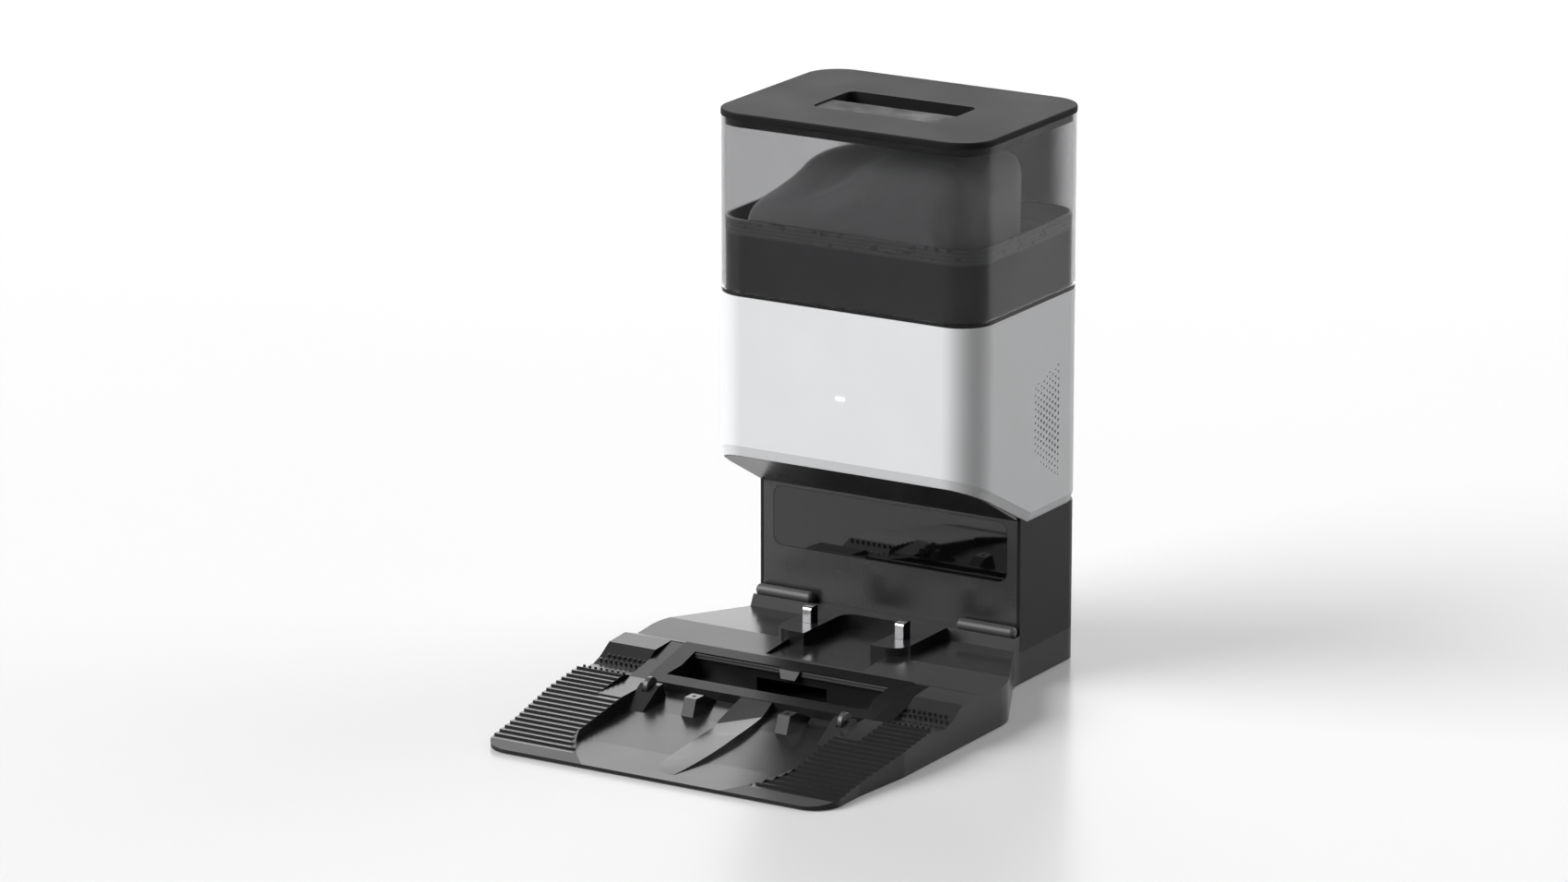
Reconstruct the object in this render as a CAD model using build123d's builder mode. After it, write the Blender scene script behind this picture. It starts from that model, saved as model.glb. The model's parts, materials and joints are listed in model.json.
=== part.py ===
from build123d import *
import math
import os

os.makedirs("parts", exist_ok=True)

# Overall sizes, in millimetres
base_width = 303.0
head_setback = 264.9
head_width = 228.0
head_depth = 169.5
head_radius = 27.0
lid_overhang = 0.6
overall_height = 427.0
overall_length = head_setback + head_depth + lid_overhang

# Heights of the head, counted from the floor
shell_front_bottom = 166.5
shell_rear_bottom = 124.0
shell_top = 288.2
lid_bottom = 291.3
slab_thickness = 5.0
slab_bottom = overall_height - slab_thickness

# Walls and clearances
wall = 2.6
shell_wall = 3.0
tub_wall = 2.4
seat_gap = 0.1
free_gap = 0.3

# Base outline
base_bottom = 0.8
front_side_taper = 5.0
front_half_width = base_width / 2 - front_side_taper
front_taper_start = 47.0
front_taper_end = 101.0
front_corner_radius = 22.0
shoulder_start = 252.0
shoulder_end = 328.0
shoulder_radius = 40.0
column_half_width = 112.6
column_front = 337.4
column_rear = 431.0
column_radius = 20.0
tail_top = 25.1

# Ramp and wheel well
lip_height = 3.5
ramp_knee = (105.0, 21.0)
ramp_end = (140.0, 25.3)
well_floor = (152.0, 21.2)
well_rear = (162.0, 21.2)
hump_foot = (171.0, 24.0)
hump_front = (184.5, 32.5)
hump_rear = (206.8, 34.0)
deck_front = (223.8, 28.7)
deck_middle = (262.0, 32.0)
deck_rear = (325.5, 29.8)
ledge_front = (328.5, 38.6)
deck_end = column_front - 0.2

# Ribs of the ramps
rib_first = 13.5
rib_pitch = 7.0
rib_rows = 18
rib_step = 1.4
short_rib_rows = 5
track_width = 61.0
track_inner = base_width / 2 - track_width
wheel_zone_width = 40.5
wheel_zone_inner = base_width / 2 - wheel_zone_width
shelf_start = 101.0
channel_drop = 1.4

# Sloped frame around the suction slot
frame_channel = 13.0
frame_half_width = wheel_zone_inner - frame_channel
frame_front = (148.5, 21.8)
frame_rear = (207.0, 35.0)
slot_front = 160.0
slot_rear = 196.0
slot_half_front = frame_half_width - 12.1
slot_half_middle = frame_half_width - 15.8
slot_half_rear = frame_half_width - 14.5
slot_waist_setback = 175.0
slot_floor_end = 16.0
slot_floor_throat = 7.0
throat_half_width = 30.0

# Valley between the ramps
valley_points = [(46.0, 5.6), (86.0, 8.8), (114.0, 11.2), (148.5, 15.3)]
flare_front_half = track_inner - 32.5
flare_middle = (track_inner - 12.0, 24.0)
flare_end = 48.5
tongue_left = -14.0
tongue_right = 19.0
tongue_right_points = [(46.0, 8.4), (89.0, 13.6), (131.0, 16.7), (149.5, 21.8)]
tongue_left_points = [(46.0, 5.3), (89.0, 8.7), (112.0, 10.7), (149.5, 21.8)]
tongue_edge_front = 10.0
tongue_edge_rear = 12.0

# Posts and roller yokes
post_x = 40.0
post_width = 10.0
post_foot = 114.3
post_top_front = 119.3
post_top_rear = 130.0
post_rear = 148.3
post_height = 24.1
roller_x = track_inner - 7.5
roller_setback = 132.5
roller_height = 22.7
roller_radius = 7.3
roller_width = 4.2
roller_side_gap = 0.6
axle_radius = 1.25
axle_gap = 0.06
axle_grip = 2.0
yoke_inner = track_inner - 16.1
yoke_foot = (105.7, 9.6)
yoke_top_front = (131.5, 24.6)
yoke_top_rear = (136.5, 24.9)
yoke_rear = (141.0, 13.0)

# Contact mount on the deck
mount_top = 38.4
mount_front = 261.0
mount_half_width = 55.5
mount_corner = 14.0
lane_half_width = 28.8
lane_front_half = 42.0
lane_floor = 28.0
lane_front = 232.0
lane_rear = 322.0
lane_corner = 11.0
contact_x = 40.0
contact_front = 284.0
contact_width = 7.0
contact_depth = 10.5
contact_top = 50.8
contact_travel = 3.0
contact_strip = 0.8
contact_foot = 16.0
contact_gap = 0.35
carrier_bottom = 5.0
carrier_thickness = 2.0

# Duct under the base
duct_half_width = 30.0
duct_roof = 21.5
duct_rear = 422.0
cover_rebate = 5.0
cover_thickness = 2.0

# Air riser from the duct to the bag
riser_half = 25.0
riser_front = 390.0
riser_rear = 424.0
riser_wall = 2.0
riser_top = 338.0
gasket_height = 1.5
port_bottom = 305.0
port_top = 333.0
port_half = 20.0

# Feet and screws
foot_radius = 8.0
foot_thickness = 2.6
foot_spots = [(base_width / 2 - 25.5, 34.0), (base_width / 2 - 23.5, 208.0), (column_half_width - 18.6, 410.0)]
screw_radius = 1.5
screw_head_radius = 3.2
screw_head_height = 2.0
base_screw_spots = [(70.0, 356.0), (70.0, 384.0)]

# Bumper pads
bumper_outer = base_width / 2 - 39.5
bumper_inner = bumper_outer - 49.0
bumper_setback = 332.2
bumper_radius = 4.6
bumper_sink = 1.4

# Window and boards
window_half_width = 101.0
window_bottom = 77.8
window_top = 124.0
window_radius = 8.0
window_thickness = 1.6
board_thickness = 1.6

# Vent in the head's right side
vent_front = 356.0
vent_pitch = 4.3
vent_row_pitch = 5.3
vent_columns = 9
vent_rows = 17
vent_bottom = 150.5
vent_hole_radius = 1.35
vent_small_radius = 0.75

# Bag bin and seal
bin_rim = 346.0
bin_floor = 290.8
bin_gap = 0.9
bin_rear_wall = 386.0
seal_lips = 4
seal_lip_pitch = 3.0
seal_lip_height = 1.4
seal_band_height = 12.0

# Finger recess in the lid
recess_half_width = 54.6
recess_front = 313.6
recess_rear = 372.0
recess_radius = 7.0
recess_depth = 20.0
grip_rear = 343.8
grip_drop = 1.0
grip_thickness = 3.0
pocket_wall = 2.0
skirt_height = 6.0


# Helpers: places counted from the front edge, and side profiles made of them
def from_front(setback):
    return setback - overall_length / 2


def side(points):
    return [(from_front(setback), height) for setback, height in points]


def along(first, last, setback):
    share = (setback - first[0]) / (last[0] - first[0])
    return first[1] + share * (last[1] - first[1])


def ramp_height(setback):
    if setback <= ramp_knee[0]:
        return along((0.0, lip_height), ramp_knee, setback)
    return along(ramp_knee, ramp_end, setback)


def head_plan(inset):
    return head_width - 2 * inset, head_depth - 2 * inset, head_radius - inset


def mirrored(spots):
    return [(sign * x, from_front(setback)) for x, setback in spots for sign in (-1, 1)]


head_front = from_front(head_setback)
head_rear = from_front(head_setback + head_depth)
head_middle = (head_front + head_rear) / 2
column_front_y = from_front(column_front)
column_rear_y = from_front(column_rear)
front_edge = from_front(0)
riser_middle = from_front((riser_front + riser_rear) / 2)
riser_depth = riser_rear - riser_front
underside = base_bottom + cover_thickness + seat_gap

# Base plate: side profile of the outer zones, trimmed to the plan outline
outer_profile = [
    (0.0, base_bottom),
    (0.0, lip_height),
    ramp_knee,
    ramp_end,
    well_floor,
    well_rear,
    hump_foot,
    hump_front,
    hump_rear,
    deck_front,
    deck_middle,
    deck_rear,
    ledge_front,
    (deck_end, ledge_front[1]),
    (deck_end, tail_top),
    (column_rear, tail_top),
    (column_rear, base_bottom),
]
inner_profile = [
    (shelf_start, base_bottom),
    (shelf_start, ramp_height(shelf_start)),
    frame_front,
    (frame_rear[0], frame_rear[1] - channel_drop),
    (frame_rear[0], base_bottom),
]
frame_profile = [
    (frame_front[0], base_bottom),
    frame_front,
    frame_rear,
    (frame_rear[0], base_bottom),
]
valley_profile = [(0.0, base_bottom), (0.0, lip_height)] + valley_points
valley_profile += [(valley_points[-1][0], base_bottom)]
half_outline = [
    (0.0, front_edge),
    (front_half_width, front_edge),
    (front_half_width, from_front(front_taper_start)),
    (base_width / 2, from_front(front_taper_end)),
    (base_width / 2, from_front(shoulder_start)),
    (column_half_width, from_front(shoulder_end)),
    (column_half_width, column_rear_y),
    (0.0, column_rear_y),
]

with BuildPart() as base_shape:
    with BuildSketch(Plane.YZ):
        Polygon(*side(outer_profile), align=None)
    extrude(amount=base_width / 2, both=True)
    with BuildSketch() as outline:
        with BuildLine():
            Polyline(*half_outline)
            mirror(about=Plane.YZ)
        make_face()
        front_corners = outline.vertices().group_by(Axis.Y)[0]
        fillet(front_corners, radius=front_corner_radius)
        rear_corners = outline.vertices().group_by(Axis.Y)[-1]
        fillet(rear_corners, radius=column_radius)
        shoulder_y = from_front(shoulder_start)
        shoulders = outline.vertices().filter_by(lambda v: abs(v.Y - shoulder_y) < 0.1)
        fillet(shoulders, radius=shoulder_radius)
        waist_y = from_front(shoulder_end)
        waists = outline.vertices().filter_by(lambda v: abs(v.Y - waist_y) < 0.1)
        fillet(waists, radius=shoulder_radius)
    extrude(amount=overall_height, mode=Mode.INTERSECT)
    # Shelves and channels beside the slot frame
    with BuildSketch(Plane.XY.offset(base_bottom)):
        with Locations((0, from_front((shelf_start + frame_rear[0]) / 2))):
            Rectangle(2 * wheel_zone_inner, frame_rear[0] - shelf_start)
    extrude(amount=overall_height, mode=Mode.SUBTRACT)
    with BuildSketch(Plane.YZ):
        Polygon(*side(inner_profile), align=None)
    extrude(amount=wheel_zone_inner, both=True)
    with BuildSketch(Plane.YZ):
        Polygon(*side(frame_profile), align=None)
    extrude(amount=frame_half_width, both=True)

# Valley between the ramps: its plan flares at the front, and its floor rises to the frame
with BuildPart() as valley_void:
    with BuildSketch():
        with BuildLine():
            start = (flare_front_half, front_edge)
            middle = (flare_middle[0], from_front(flare_middle[1]))
            end = (track_inner, from_front(flare_end))
            back = (track_inner, from_front(frame_front[0]))
            Polyline((0, front_edge), start)
            ThreePointArc(start, middle, end)
            Polyline(end, back, (0, back[1]))
            mirror(about=Plane.YZ)
        make_face()
    extrude(amount=overall_height)
    with BuildSketch(Plane.YZ):
        Polygon(*side(valley_profile), align=None)
    extrude(amount=base_width / 2, both=True, mode=Mode.SUBTRACT)
    with BuildSketch():
        with Locations((0, front_edge)):
            Rectangle(base_width, overall_length, align=(Align.CENTER, Align.MIN))
    extrude(amount=base_bottom, mode=Mode.SUBTRACT)

# Centre tongue: a ruled wedge that rises to the slot frame, with a bowed right edge
tongue_start = 6.0
front_point = (tongue_start, lip_height)
tongue_foot = [(frame_front[0] + 1, wall), (tongue_start, wall)]
with BuildPart() as tongue:
    with BuildSketch(Plane.YZ.offset(tongue_left)):
        Polygon(*side([front_point] + tongue_left_points + tongue_foot), align=None)
    with BuildSketch(Plane.YZ.offset(tongue_right)):
        Polygon(*side([front_point] + tongue_right_points + tongue_foot), align=None)
    loft(ruled=True)
    with BuildSketch():
        with BuildLine():
            crest = (tongue_right, from_front(tongue_right_points[1][0]))
            near = (tongue_edge_front, front_edge)
            far = (tongue_edge_rear, from_front(frame_front[0] + 1))
            ThreePointArc(near, crest, far)
            Polyline(far, (tongue_left, far[1]), (tongue_left, front_edge), near)
        make_face()
    extrude(amount=overall_height, mode=Mode.INTERSECT)

# Saw-tooth ribs: each row is a wedge cut that leaves a low riser facing forward
with BuildPart() as rib_cuts:
    for row in range(rib_rows):
        rib_start = rib_first + row * rib_pitch
        rib_end = rib_start + rib_pitch
        tooth = [
            (rib_start, ramp_height(rib_start)),
            (rib_end, ramp_height(rib_end) + rib_step),
            (rib_end, ramp_height(rib_end) - rib_step),
        ]
        if row >= rib_rows - short_rib_rows:
            rib_inner = wheel_zone_inner
        elif rib_end > flare_end:
            rib_inner = track_inner
        else:
            reach = (flare_end - rib_start) / flare_end
            rib_inner = track_inner - (track_inner - flare_front_half) * reach**2 + 1.0
        for plane_x in (-base_width / 2, rib_inner):
            with BuildSketch(Plane.YZ.offset(plane_x)):
                Polygon(*side(tooth), align=None)
            extrude(amount=base_width / 2 - rib_inner)

# Raised contact mount, with the caster lane let into the deck
with BuildPart() as mount_block:
    with BuildSketch(Plane.XY.offset(base_bottom)) as mount_plan:
        with Locations((0, from_front(mount_front))):
            Rectangle(2 * mount_half_width, deck_end - mount_front, align=(Align.CENTER, Align.MIN))
        fillet(mount_plan.vertices().group_by(Axis.Y)[0], radius=mount_corner)
    extrude(amount=mount_top - base_bottom)

with BuildPart() as lane_void:
    lane_profile = [
        (frame_rear[0] + 1, overall_height),
        (frame_rear[0] + 1, frame_rear[1]),
        (lane_front, lane_floor),
        (lane_rear, lane_floor),
        (lane_rear, overall_height),
    ]
    with BuildSketch(Plane.YZ):
        Polygon(*side(lane_profile), align=None)
    extrude(amount=lane_front_half, both=True)
    with BuildSketch() as lane_plan:
        with Locations((0, from_front(lane_rear))):
            Rectangle(2 * lane_half_width, lane_rear - frame_rear[0], align=(Align.CENTER, Align.MAX))
        fillet(lane_plan.vertices().group_by(Axis.Y)[-1], radius=lane_corner)
        with Locations((0, from_front(mount_front))):
            Rectangle(2 * lane_front_half, mount_front - frame_rear[0], align=(Align.CENTER, Align.MAX))
    extrude(amount=overall_height, mode=Mode.INTERSECT)

# Suction slot: waisted ends, with floors that fall to a throat in the middle
slot_half = [
    (0.0, from_front(slot_front)),
    (slot_half_front, from_front(slot_front)),
    (slot_half_middle, from_front(slot_waist_setback)),
    (slot_half_rear, from_front(slot_rear)),
    (0.0, from_front(slot_rear)),
]
slot_floor = [
    (throat_half_width, 0.0),
    (throat_half_width, slot_floor_throat),
    (slot_half_front, slot_floor_end),
    (slot_half_front + 1, 0.0),
]
with BuildPart() as slot_void:
    with BuildSketch(Plane.XY.offset(underside)):
        with BuildLine():
            Polyline(*slot_half)
            mirror(about=Plane.YZ)
        make_face()
    extrude(amount=overall_height)
    with BuildSketch(Plane.XZ.offset(-from_front(slot_rear + 1))):
        Polygon(*slot_floor, align=None)
        mirror(about=Plane.YZ)
    extrude(amount=slot_rear - slot_front + 2, mode=Mode.SUBTRACT)

# Duct channel from the throat back to the tail, open below for its cover
with BuildPart() as duct_void:
    with BuildSketch(Plane.XY.offset(base_bottom)):
        with Locations((0, from_front(slot_front))):
            Rectangle(2 * duct_half_width, duct_rear - slot_front, align=(Align.CENTER, Align.MIN))
    extrude(amount=duct_roof - base_bottom)
    with BuildSketch(Plane.XY.offset(base_bottom)):
        with Locations((0, from_front(slot_front - cover_rebate))):
            cover_span = duct_rear - slot_front + 2 * cover_rebate
            cover_width = 2 * (duct_half_width + cover_rebate)
            Rectangle(cover_width, cover_span, align=(Align.CENTER, Align.MIN))
    extrude(amount=cover_thickness)

# Underside pockets follow the surface above, one wall below it
pocket_roof = wall + 1.0
track_pocket = [
    (46.0, 0.0),
    (46.0, ramp_height(46.0) - pocket_roof),
    (ramp_knee[0], ramp_knee[1] - pocket_roof),
    (well_floor[0], well_floor[1] - pocket_roof),
    (well_rear[0], well_rear[1] - pocket_roof),
    (hump_front[0], hump_front[1] - 2 * pocket_roof),
    (196.0, hump_front[1] - 2 * pocket_roof),
    (196.0, 0.0),
]
deck_pocket = [
    (220.0, 0.0),
    (220.0, deck_front[1] - pocket_roof),
    (deck_middle[0], deck_middle[1] - pocket_roof),
    (deck_rear[0], deck_rear[1] - pocket_roof),
    (deck_rear[0], 0.0),
]
with BuildPart() as pocket_void:
    track_span = (wheel_zone_inner + 3.0, base_width / 2 - 8.5)
    deck_span = (mount_half_width + 6.5, column_half_width - 0.6)
    for pocket, (inner, outer) in ((track_pocket, track_span), (deck_pocket, deck_span)):
        for plane_x in (-outer, inner):
            with BuildSketch(Plane.YZ.offset(plane_x)):
                Polygon(*side(pocket), align=None)
            extrude(amount=outer - inner)
    with BuildSketch():
        with Locations(*[(sign * 74.0, from_front(370.0)) for sign in (-1, 1)]):
            Rectangle(56.0, 44.0)
    extrude(amount=tail_top - wall)

# Contact wells: a shaft for the post above, a wider chamber for its foot and carrier below
contact_middle = contact_front + contact_depth / 2
contact_spots = mirrored([(contact_x, contact_middle)])
foot_top = contact_foot + 2.0
with BuildPart() as contact_void:
    with BuildSketch():
        with Locations(*contact_spots):
            Rectangle(contact_width + 2 * contact_gap, contact_depth + 2 * contact_gap)
    extrude(amount=overall_height)
    with BuildSketch():
        with Locations(*contact_spots):
            Rectangle(contact_width + 3.0, contact_depth + 3.0)
    extrude(amount=foot_top)

# Posts beside the tongue
post_profile = [
    (post_foot, base_bottom),
    (post_foot, along(valley_points[1], valley_points[2], post_foot)),
    (post_top_front, post_height),
    (post_top_rear, post_height),
    (post_rear, valley_points[-1][1]),
    (post_rear, base_bottom),
]
yoke_profile = [
    (yoke_foot[0], base_bottom),
    yoke_foot,
    yoke_top_front,
    yoke_top_rear,
    yoke_rear,
    (yoke_rear[0], base_bottom),
]
with BuildPart() as posts:
    for plane_x in (-post_x - post_width / 2, post_x - post_width / 2):
        with BuildSketch(Plane.YZ.offset(plane_x)):
            Polygon(*side(post_profile), align=None)
        extrude(amount=post_width)
    post_hole_setback = (post_top_front + post_top_rear) / 2
    with BuildSketch(Plane.XY.offset(post_height)):
        with Locations(*mirrored([(post_x, post_hole_setback)])):
            Circle(1.6)
    extrude(amount=-4.0, mode=Mode.SUBTRACT)

# Roller yokes: wedges with a slot for the roller and a bore for its axle
yoke_slot = roller_width + 2 * roller_side_gap
with BuildPart() as yokes:
    for plane_x in (-track_inner, yoke_inner):
        with BuildSketch(Plane.YZ.offset(plane_x)):
            Polygon(*side(yoke_profile), align=None)
        extrude(amount=track_inner - yoke_inner)
    for centre_x in (-roller_x, roller_x):
        with BuildSketch(Plane.YZ.offset(centre_x - yoke_slot / 2)):
            with Locations((from_front(roller_setback), roller_height)):
                Circle(roller_radius + 1.0)
        extrude(amount=yoke_slot, mode=Mode.SUBTRACT)
        with BuildSketch(Plane.YZ.offset(centre_x - yoke_slot / 2 - axle_grip)):
            with Locations((from_front(roller_setback), roller_height)):
                Circle(axle_radius)
        extrude(amount=yoke_slot + 2 * axle_grip, mode=Mode.SUBTRACT)

# Grip studs on the slopes of the wheel wells: pitch, count, setback and height of each row
stud_rows = [
    (8, 4.9, 143.6, ramp_end[1] - 1.2),
    (9, 4.36, 167.3, along(well_rear, hump_foot, 167.3)),
    (8, 4.46, 172.6, along(hump_foot, hump_front, 172.6)),
]
stud_inner = wheel_zone_inner + 2.0
with BuildPart() as studs:
    for count, pitch, setback, height in stud_rows:
        row_spots = [(stud_inner + step * pitch, setback) for step in range(count)]
        with BuildSketch(Plane.XY.offset(height - 2.0)):
            with Locations(*mirrored(row_spots)):
                Circle(1.45)
        extrude(amount=4.0, taper=8)

# Centre tab over the slot, hanging from its rear edge
tab_top = along(frame_front, frame_rear, slot_rear)
with BuildPart() as slot_tab:
    with BuildSketch(Plane.XZ.offset(-from_front(slot_rear + 0.5))):
        Polygon((-9.0, tab_top), (9.0, tab_top), (6.0, tab_top - 7.0), (-6.0, tab_top - 7.0), align=None)
    extrude(amount=6.0)
    with BuildSketch(Plane.YZ.offset(-10.0)):
        tab_side = [
            (slot_rear + 0.5, tab_top - 7.0),
            (slot_rear + 0.5, tab_top),
            (slot_rear - 3.0, along(frame_front, frame_rear, slot_rear - 3.0)),
            (slot_rear - 5.5, tab_top - 7.0),
        ]
        Polygon(*side(tab_side), align=None)
    extrude(amount=20.0, mode=Mode.INTERSECT)

foot_recess = foot_thickness - base_bottom
with BuildPart() as base_plate:
    add(base_shape.part)
    add(valley_void.part, mode=Mode.SUBTRACT)
    add(tongue.part)
    add(rib_cuts.part, mode=Mode.SUBTRACT)
    add(mount_block.part)
    add(lane_void.part, mode=Mode.SUBTRACT)
    add(slot_void.part, mode=Mode.SUBTRACT)
    add(posts.part)
    add(yokes.part)
    add(pocket_void.part, mode=Mode.SUBTRACT)
    add(contact_void.part, mode=Mode.SUBTRACT)
    add(duct_void.part, mode=Mode.SUBTRACT)
    add(studs.part)
    add(slot_tab.part)
    # Seats for the feet
    with BuildSketch(Plane.XY.offset(base_bottom)):
        with Locations(*mirrored(foot_spots)):
            Circle(foot_radius + seat_gap)
    extrude(amount=foot_recess, mode=Mode.SUBTRACT)
    # Screw holes and the riser opening in the tail's top
    with BuildSketch(Plane.XY.offset(tail_top)):
        with Locations(*mirrored(base_screw_spots)):
            Circle(screw_radius)
        with Locations((0, riser_middle)):
            Rectangle(2 * (riser_half - riser_wall), riser_depth - 2 * riser_wall)
    extrude(amount=duct_roof - tail_top - 1, mode=Mode.SUBTRACT)
base_plate.part.label = "base_plate"
export_step(base_plate.part, "parts/base_plate.step")

# Cover plate that closes the duct channel from below
with BuildPart() as duct_cover:
    with BuildSketch(Plane.XY.offset(base_bottom)):
        with Locations((0, from_front((slot_front + duct_rear) / 2))):
            Rectangle(cover_width - 2 * seat_gap, cover_span - 2 * seat_gap)
    extrude(amount=cover_thickness)
duct_cover.part.label = "duct_cover"
export_step(duct_cover.part, "parts/duct_cover.step")

# Rubber feet in their seats
with BuildPart() as rubber_feet:
    with BuildSketch():
        with Locations(*mirrored(foot_spots)):
            Circle(foot_radius)
    extrude(amount=foot_thickness)
rubber_feet.part.label = "rubber_feet"
export_step(rubber_feet.part, "parts/rubber_feet.step")

# Lip seal with two rails under the slot's rear edge
seal_top = tab_top - 1.2
seal_profile = [
    (slot_rear, seal_top),
    (slot_rear, seal_top - 3.0),
    (slot_rear - 2.0, seal_top - 3.0),
    (slot_rear - 2.0, seal_top - 2.0),
    (slot_rear - 0.9, seal_top - 2.0),
    (slot_rear - 0.9, seal_top - 1.0),
    (slot_rear - 1.6, seal_top - 1.0),
    (slot_rear - 1.6, seal_top),
]
with BuildPart() as slot_seal:
    for plane_x in (-slot_half_rear + 1, 9.5):
        with BuildSketch(Plane.YZ.offset(plane_x)):
            Polygon(*side(seal_profile), align=None)
        extrude(amount=slot_half_rear - 10.5)
slot_seal.part.label = "slot_seal"
export_step(slot_seal.part, "parts/slot_seal.step")

# Guide rollers and their axles
for name, centre_x in (("left", -roller_x), ("right", roller_x)):
    with BuildPart() as roller:
        with BuildSketch(Plane.YZ.offset(centre_x - roller_width / 2)):
            with Locations((from_front(roller_setback), roller_height)):
                Circle(roller_radius)
                Circle(axle_radius + axle_gap, mode=Mode.SUBTRACT)
        extrude(amount=roller_width)
        rims = roller.edges().filter_by(GeomType.CIRCLE).group_by(SortBy.RADIUS)[-1]
        fillet(rims, radius=0.8)
    roller.part.label = "roller_" + name
    export_step(roller.part, "parts/roller_" + name + ".step")
    with BuildPart() as axle:
        with BuildSketch(Plane.YZ.offset(centre_x - yoke_slot / 2 - axle_grip)):
            with Locations((from_front(roller_setback), roller_height)):
                Circle(axle_radius)
        extrude(amount=yoke_slot + 2 * axle_grip)
    axle.part.label = "axle_" + name
    export_step(axle.part, "parts/axle_" + name + ".step")

# Charging contacts: a dark post with a metal strip, held up by a spring on a carrier
strip_bottom = mount_top - 6.0
strip_rear = contact_front + 6.0
spring_radius = 2.9
spring_wire = 0.45
carrier_top = carrier_bottom + carrier_thickness
for name, centre_x in (("left", -contact_x), ("right", contact_x)):
    with BuildPart() as strip:
        for inset, mode in ((0.0, Mode.ADD), (contact_strip, Mode.SUBTRACT)):
            with BuildSketch(Plane.YZ.offset(centre_x - contact_width / 2)) as strip_side:
                corner_front = from_front(contact_front + inset)
                with Locations((corner_front, contact_top - inset)):
                    align = (Align.MIN, Align.MAX)
                    Rectangle(contact_depth - inset, contact_top - strip_bottom, align=align)
                corner = strip_side.vertices().group_by(Axis.X)[0].sort_by(Axis.Y)[-1]
                fillet(corner, radius=2.6 - inset)
            extrude(amount=contact_width, mode=mode)
        with BuildSketch(Plane.YZ.offset(centre_x - contact_width / 2)):
            with Locations((from_front(strip_rear), contact_top)):
                Rectangle(contact_depth, 2 * contact_top, align=(Align.MIN, Align.MAX))
        extrude(amount=contact_width, mode=Mode.SUBTRACT)
        with BuildSketch(Plane.XY.offset(strip_bottom)):
            with Locations((centre_x, from_front(strip_rear))):
                Rectangle(contact_width, contact_depth, align=(Align.CENTER, Align.MAX))
        extrude(amount=-contact_strip, mode=Mode.SUBTRACT)
    with BuildPart() as post:
        with BuildSketch(Plane.YZ.offset(centre_x - contact_width / 2)) as post_side:
            with Locations((from_front(contact_front), contact_foot)):
                Rectangle(contact_depth, contact_top - contact_foot, align=(Align.MIN, Align.MIN))
            corner = post_side.vertices().group_by(Axis.X)[0].sort_by(Axis.Y)[-1]
            fillet(corner, radius=2.6)
        extrude(amount=contact_width)
        add(strip.part, mode=Mode.SUBTRACT)
        with BuildSketch(Plane.XY.offset(contact_foot)):
            with Locations((centre_x, from_front(contact_middle))):
                Rectangle(contact_width + 2.0, contact_depth + 2.0)
        extrude(amount=foot_top - contact_foot - seat_gap)
    with BuildPart() as carrier:
        with BuildSketch(Plane.XY.offset(carrier_bottom)):
            with Locations((centre_x, from_front(contact_middle))):
                Rectangle(contact_width + 3.0 - 2 * seat_gap, contact_depth + 3.0 - 2 * seat_gap)
        extrude(amount=carrier_thickness)
    coil_height = contact_foot - carrier_top - 2 * spring_wire
    coil_base = (centre_x, from_front(contact_middle), carrier_top + spring_wire)
    with BuildPart() as spring:
        with BuildLine():
            coil = Helix(coil_height / 4, coil_height, spring_radius, center=coil_base)
        with BuildSketch(Plane(coil @ 0, z_dir=coil % 0)):
            Circle(spring_wire)
        sweep(is_frenet=True)
    for piece, title in ((strip, "contact_strip"), (post, "contact_post"), (carrier, "contact_carrier"),
                         (spring, "contact_spring")):
        piece.part.label = title + "_" + name
        export_step(piece.part, "parts/" + title + "_" + name + ".step")

# Half-round bumper pads on the ledge in front of the column
for name, plane_x in (("left", -bumper_outer), ("right", bumper_inner)):
    with BuildPart() as bumper_pad:
        with BuildSketch(Plane.YZ.offset(plane_x)):
            bumper_centre = ledge_front[1] + bumper_radius - bumper_sink
            with Locations((from_front(bumper_setback), bumper_centre)):
                Circle(bumper_radius)
        extrude(amount=bumper_outer - bumper_inner)
        fillet(bumper_pad.edges().filter_by(GeomType.CIRCLE), radius=3.0)
        with BuildSketch(Plane.XY.offset(ledge_front[1])):
            with Locations((plane_x, from_front(bumper_setback))):
                Rectangle(base_width, 4 * bumper_radius)
        extrude(amount=-2 * bumper_radius, mode=Mode.SUBTRACT)
    bumper_pad.part.label = "bumper_pad_" + name
    export_step(bumper_pad.part, "parts/bumper_pad_" + name + ".step")

# Air riser: stands on the column's floor and turns forward into the bag bin
column_floor = tail_top + shell_wall
with BuildPart() as air_riser:
    with BuildSketch(Plane.XY.offset(column_floor + gasket_height)):
        with Locations((0, riser_middle)):
            Rectangle(2 * riser_half, riser_depth)
    extrude(until=None, amount=riser_top - column_floor - gasket_height)
    with BuildSketch(Plane.XZ.offset(-from_front(riser_front))):
        with Locations((0, (port_bottom + port_top) / 2)):
            Rectangle(2 * (port_half + riser_wall), port_top - port_bottom + 2 * riser_wall)
    extrude(amount=riser_front - bin_rear_wall - tub_wall - seat_gap)
    with BuildSketch(Plane.XY.offset(column_floor)):
        with Locations((0, riser_middle)):
            Rectangle(2 * (riser_half - riser_wall), riser_depth - 2 * riser_wall)
    extrude(amount=riser_top - riser_wall - column_floor, mode=Mode.SUBTRACT)
    with BuildSketch(Plane.XZ.offset(-riser_middle)):
        with Locations((0, (port_bottom + port_top) / 2)):
            Rectangle(2 * port_half, port_top - port_bottom)
    extrude(amount=riser_depth, mode=Mode.SUBTRACT)
air_riser.part.label = "air_riser"
export_step(air_riser.part, "parts/air_riser.step")

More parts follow.
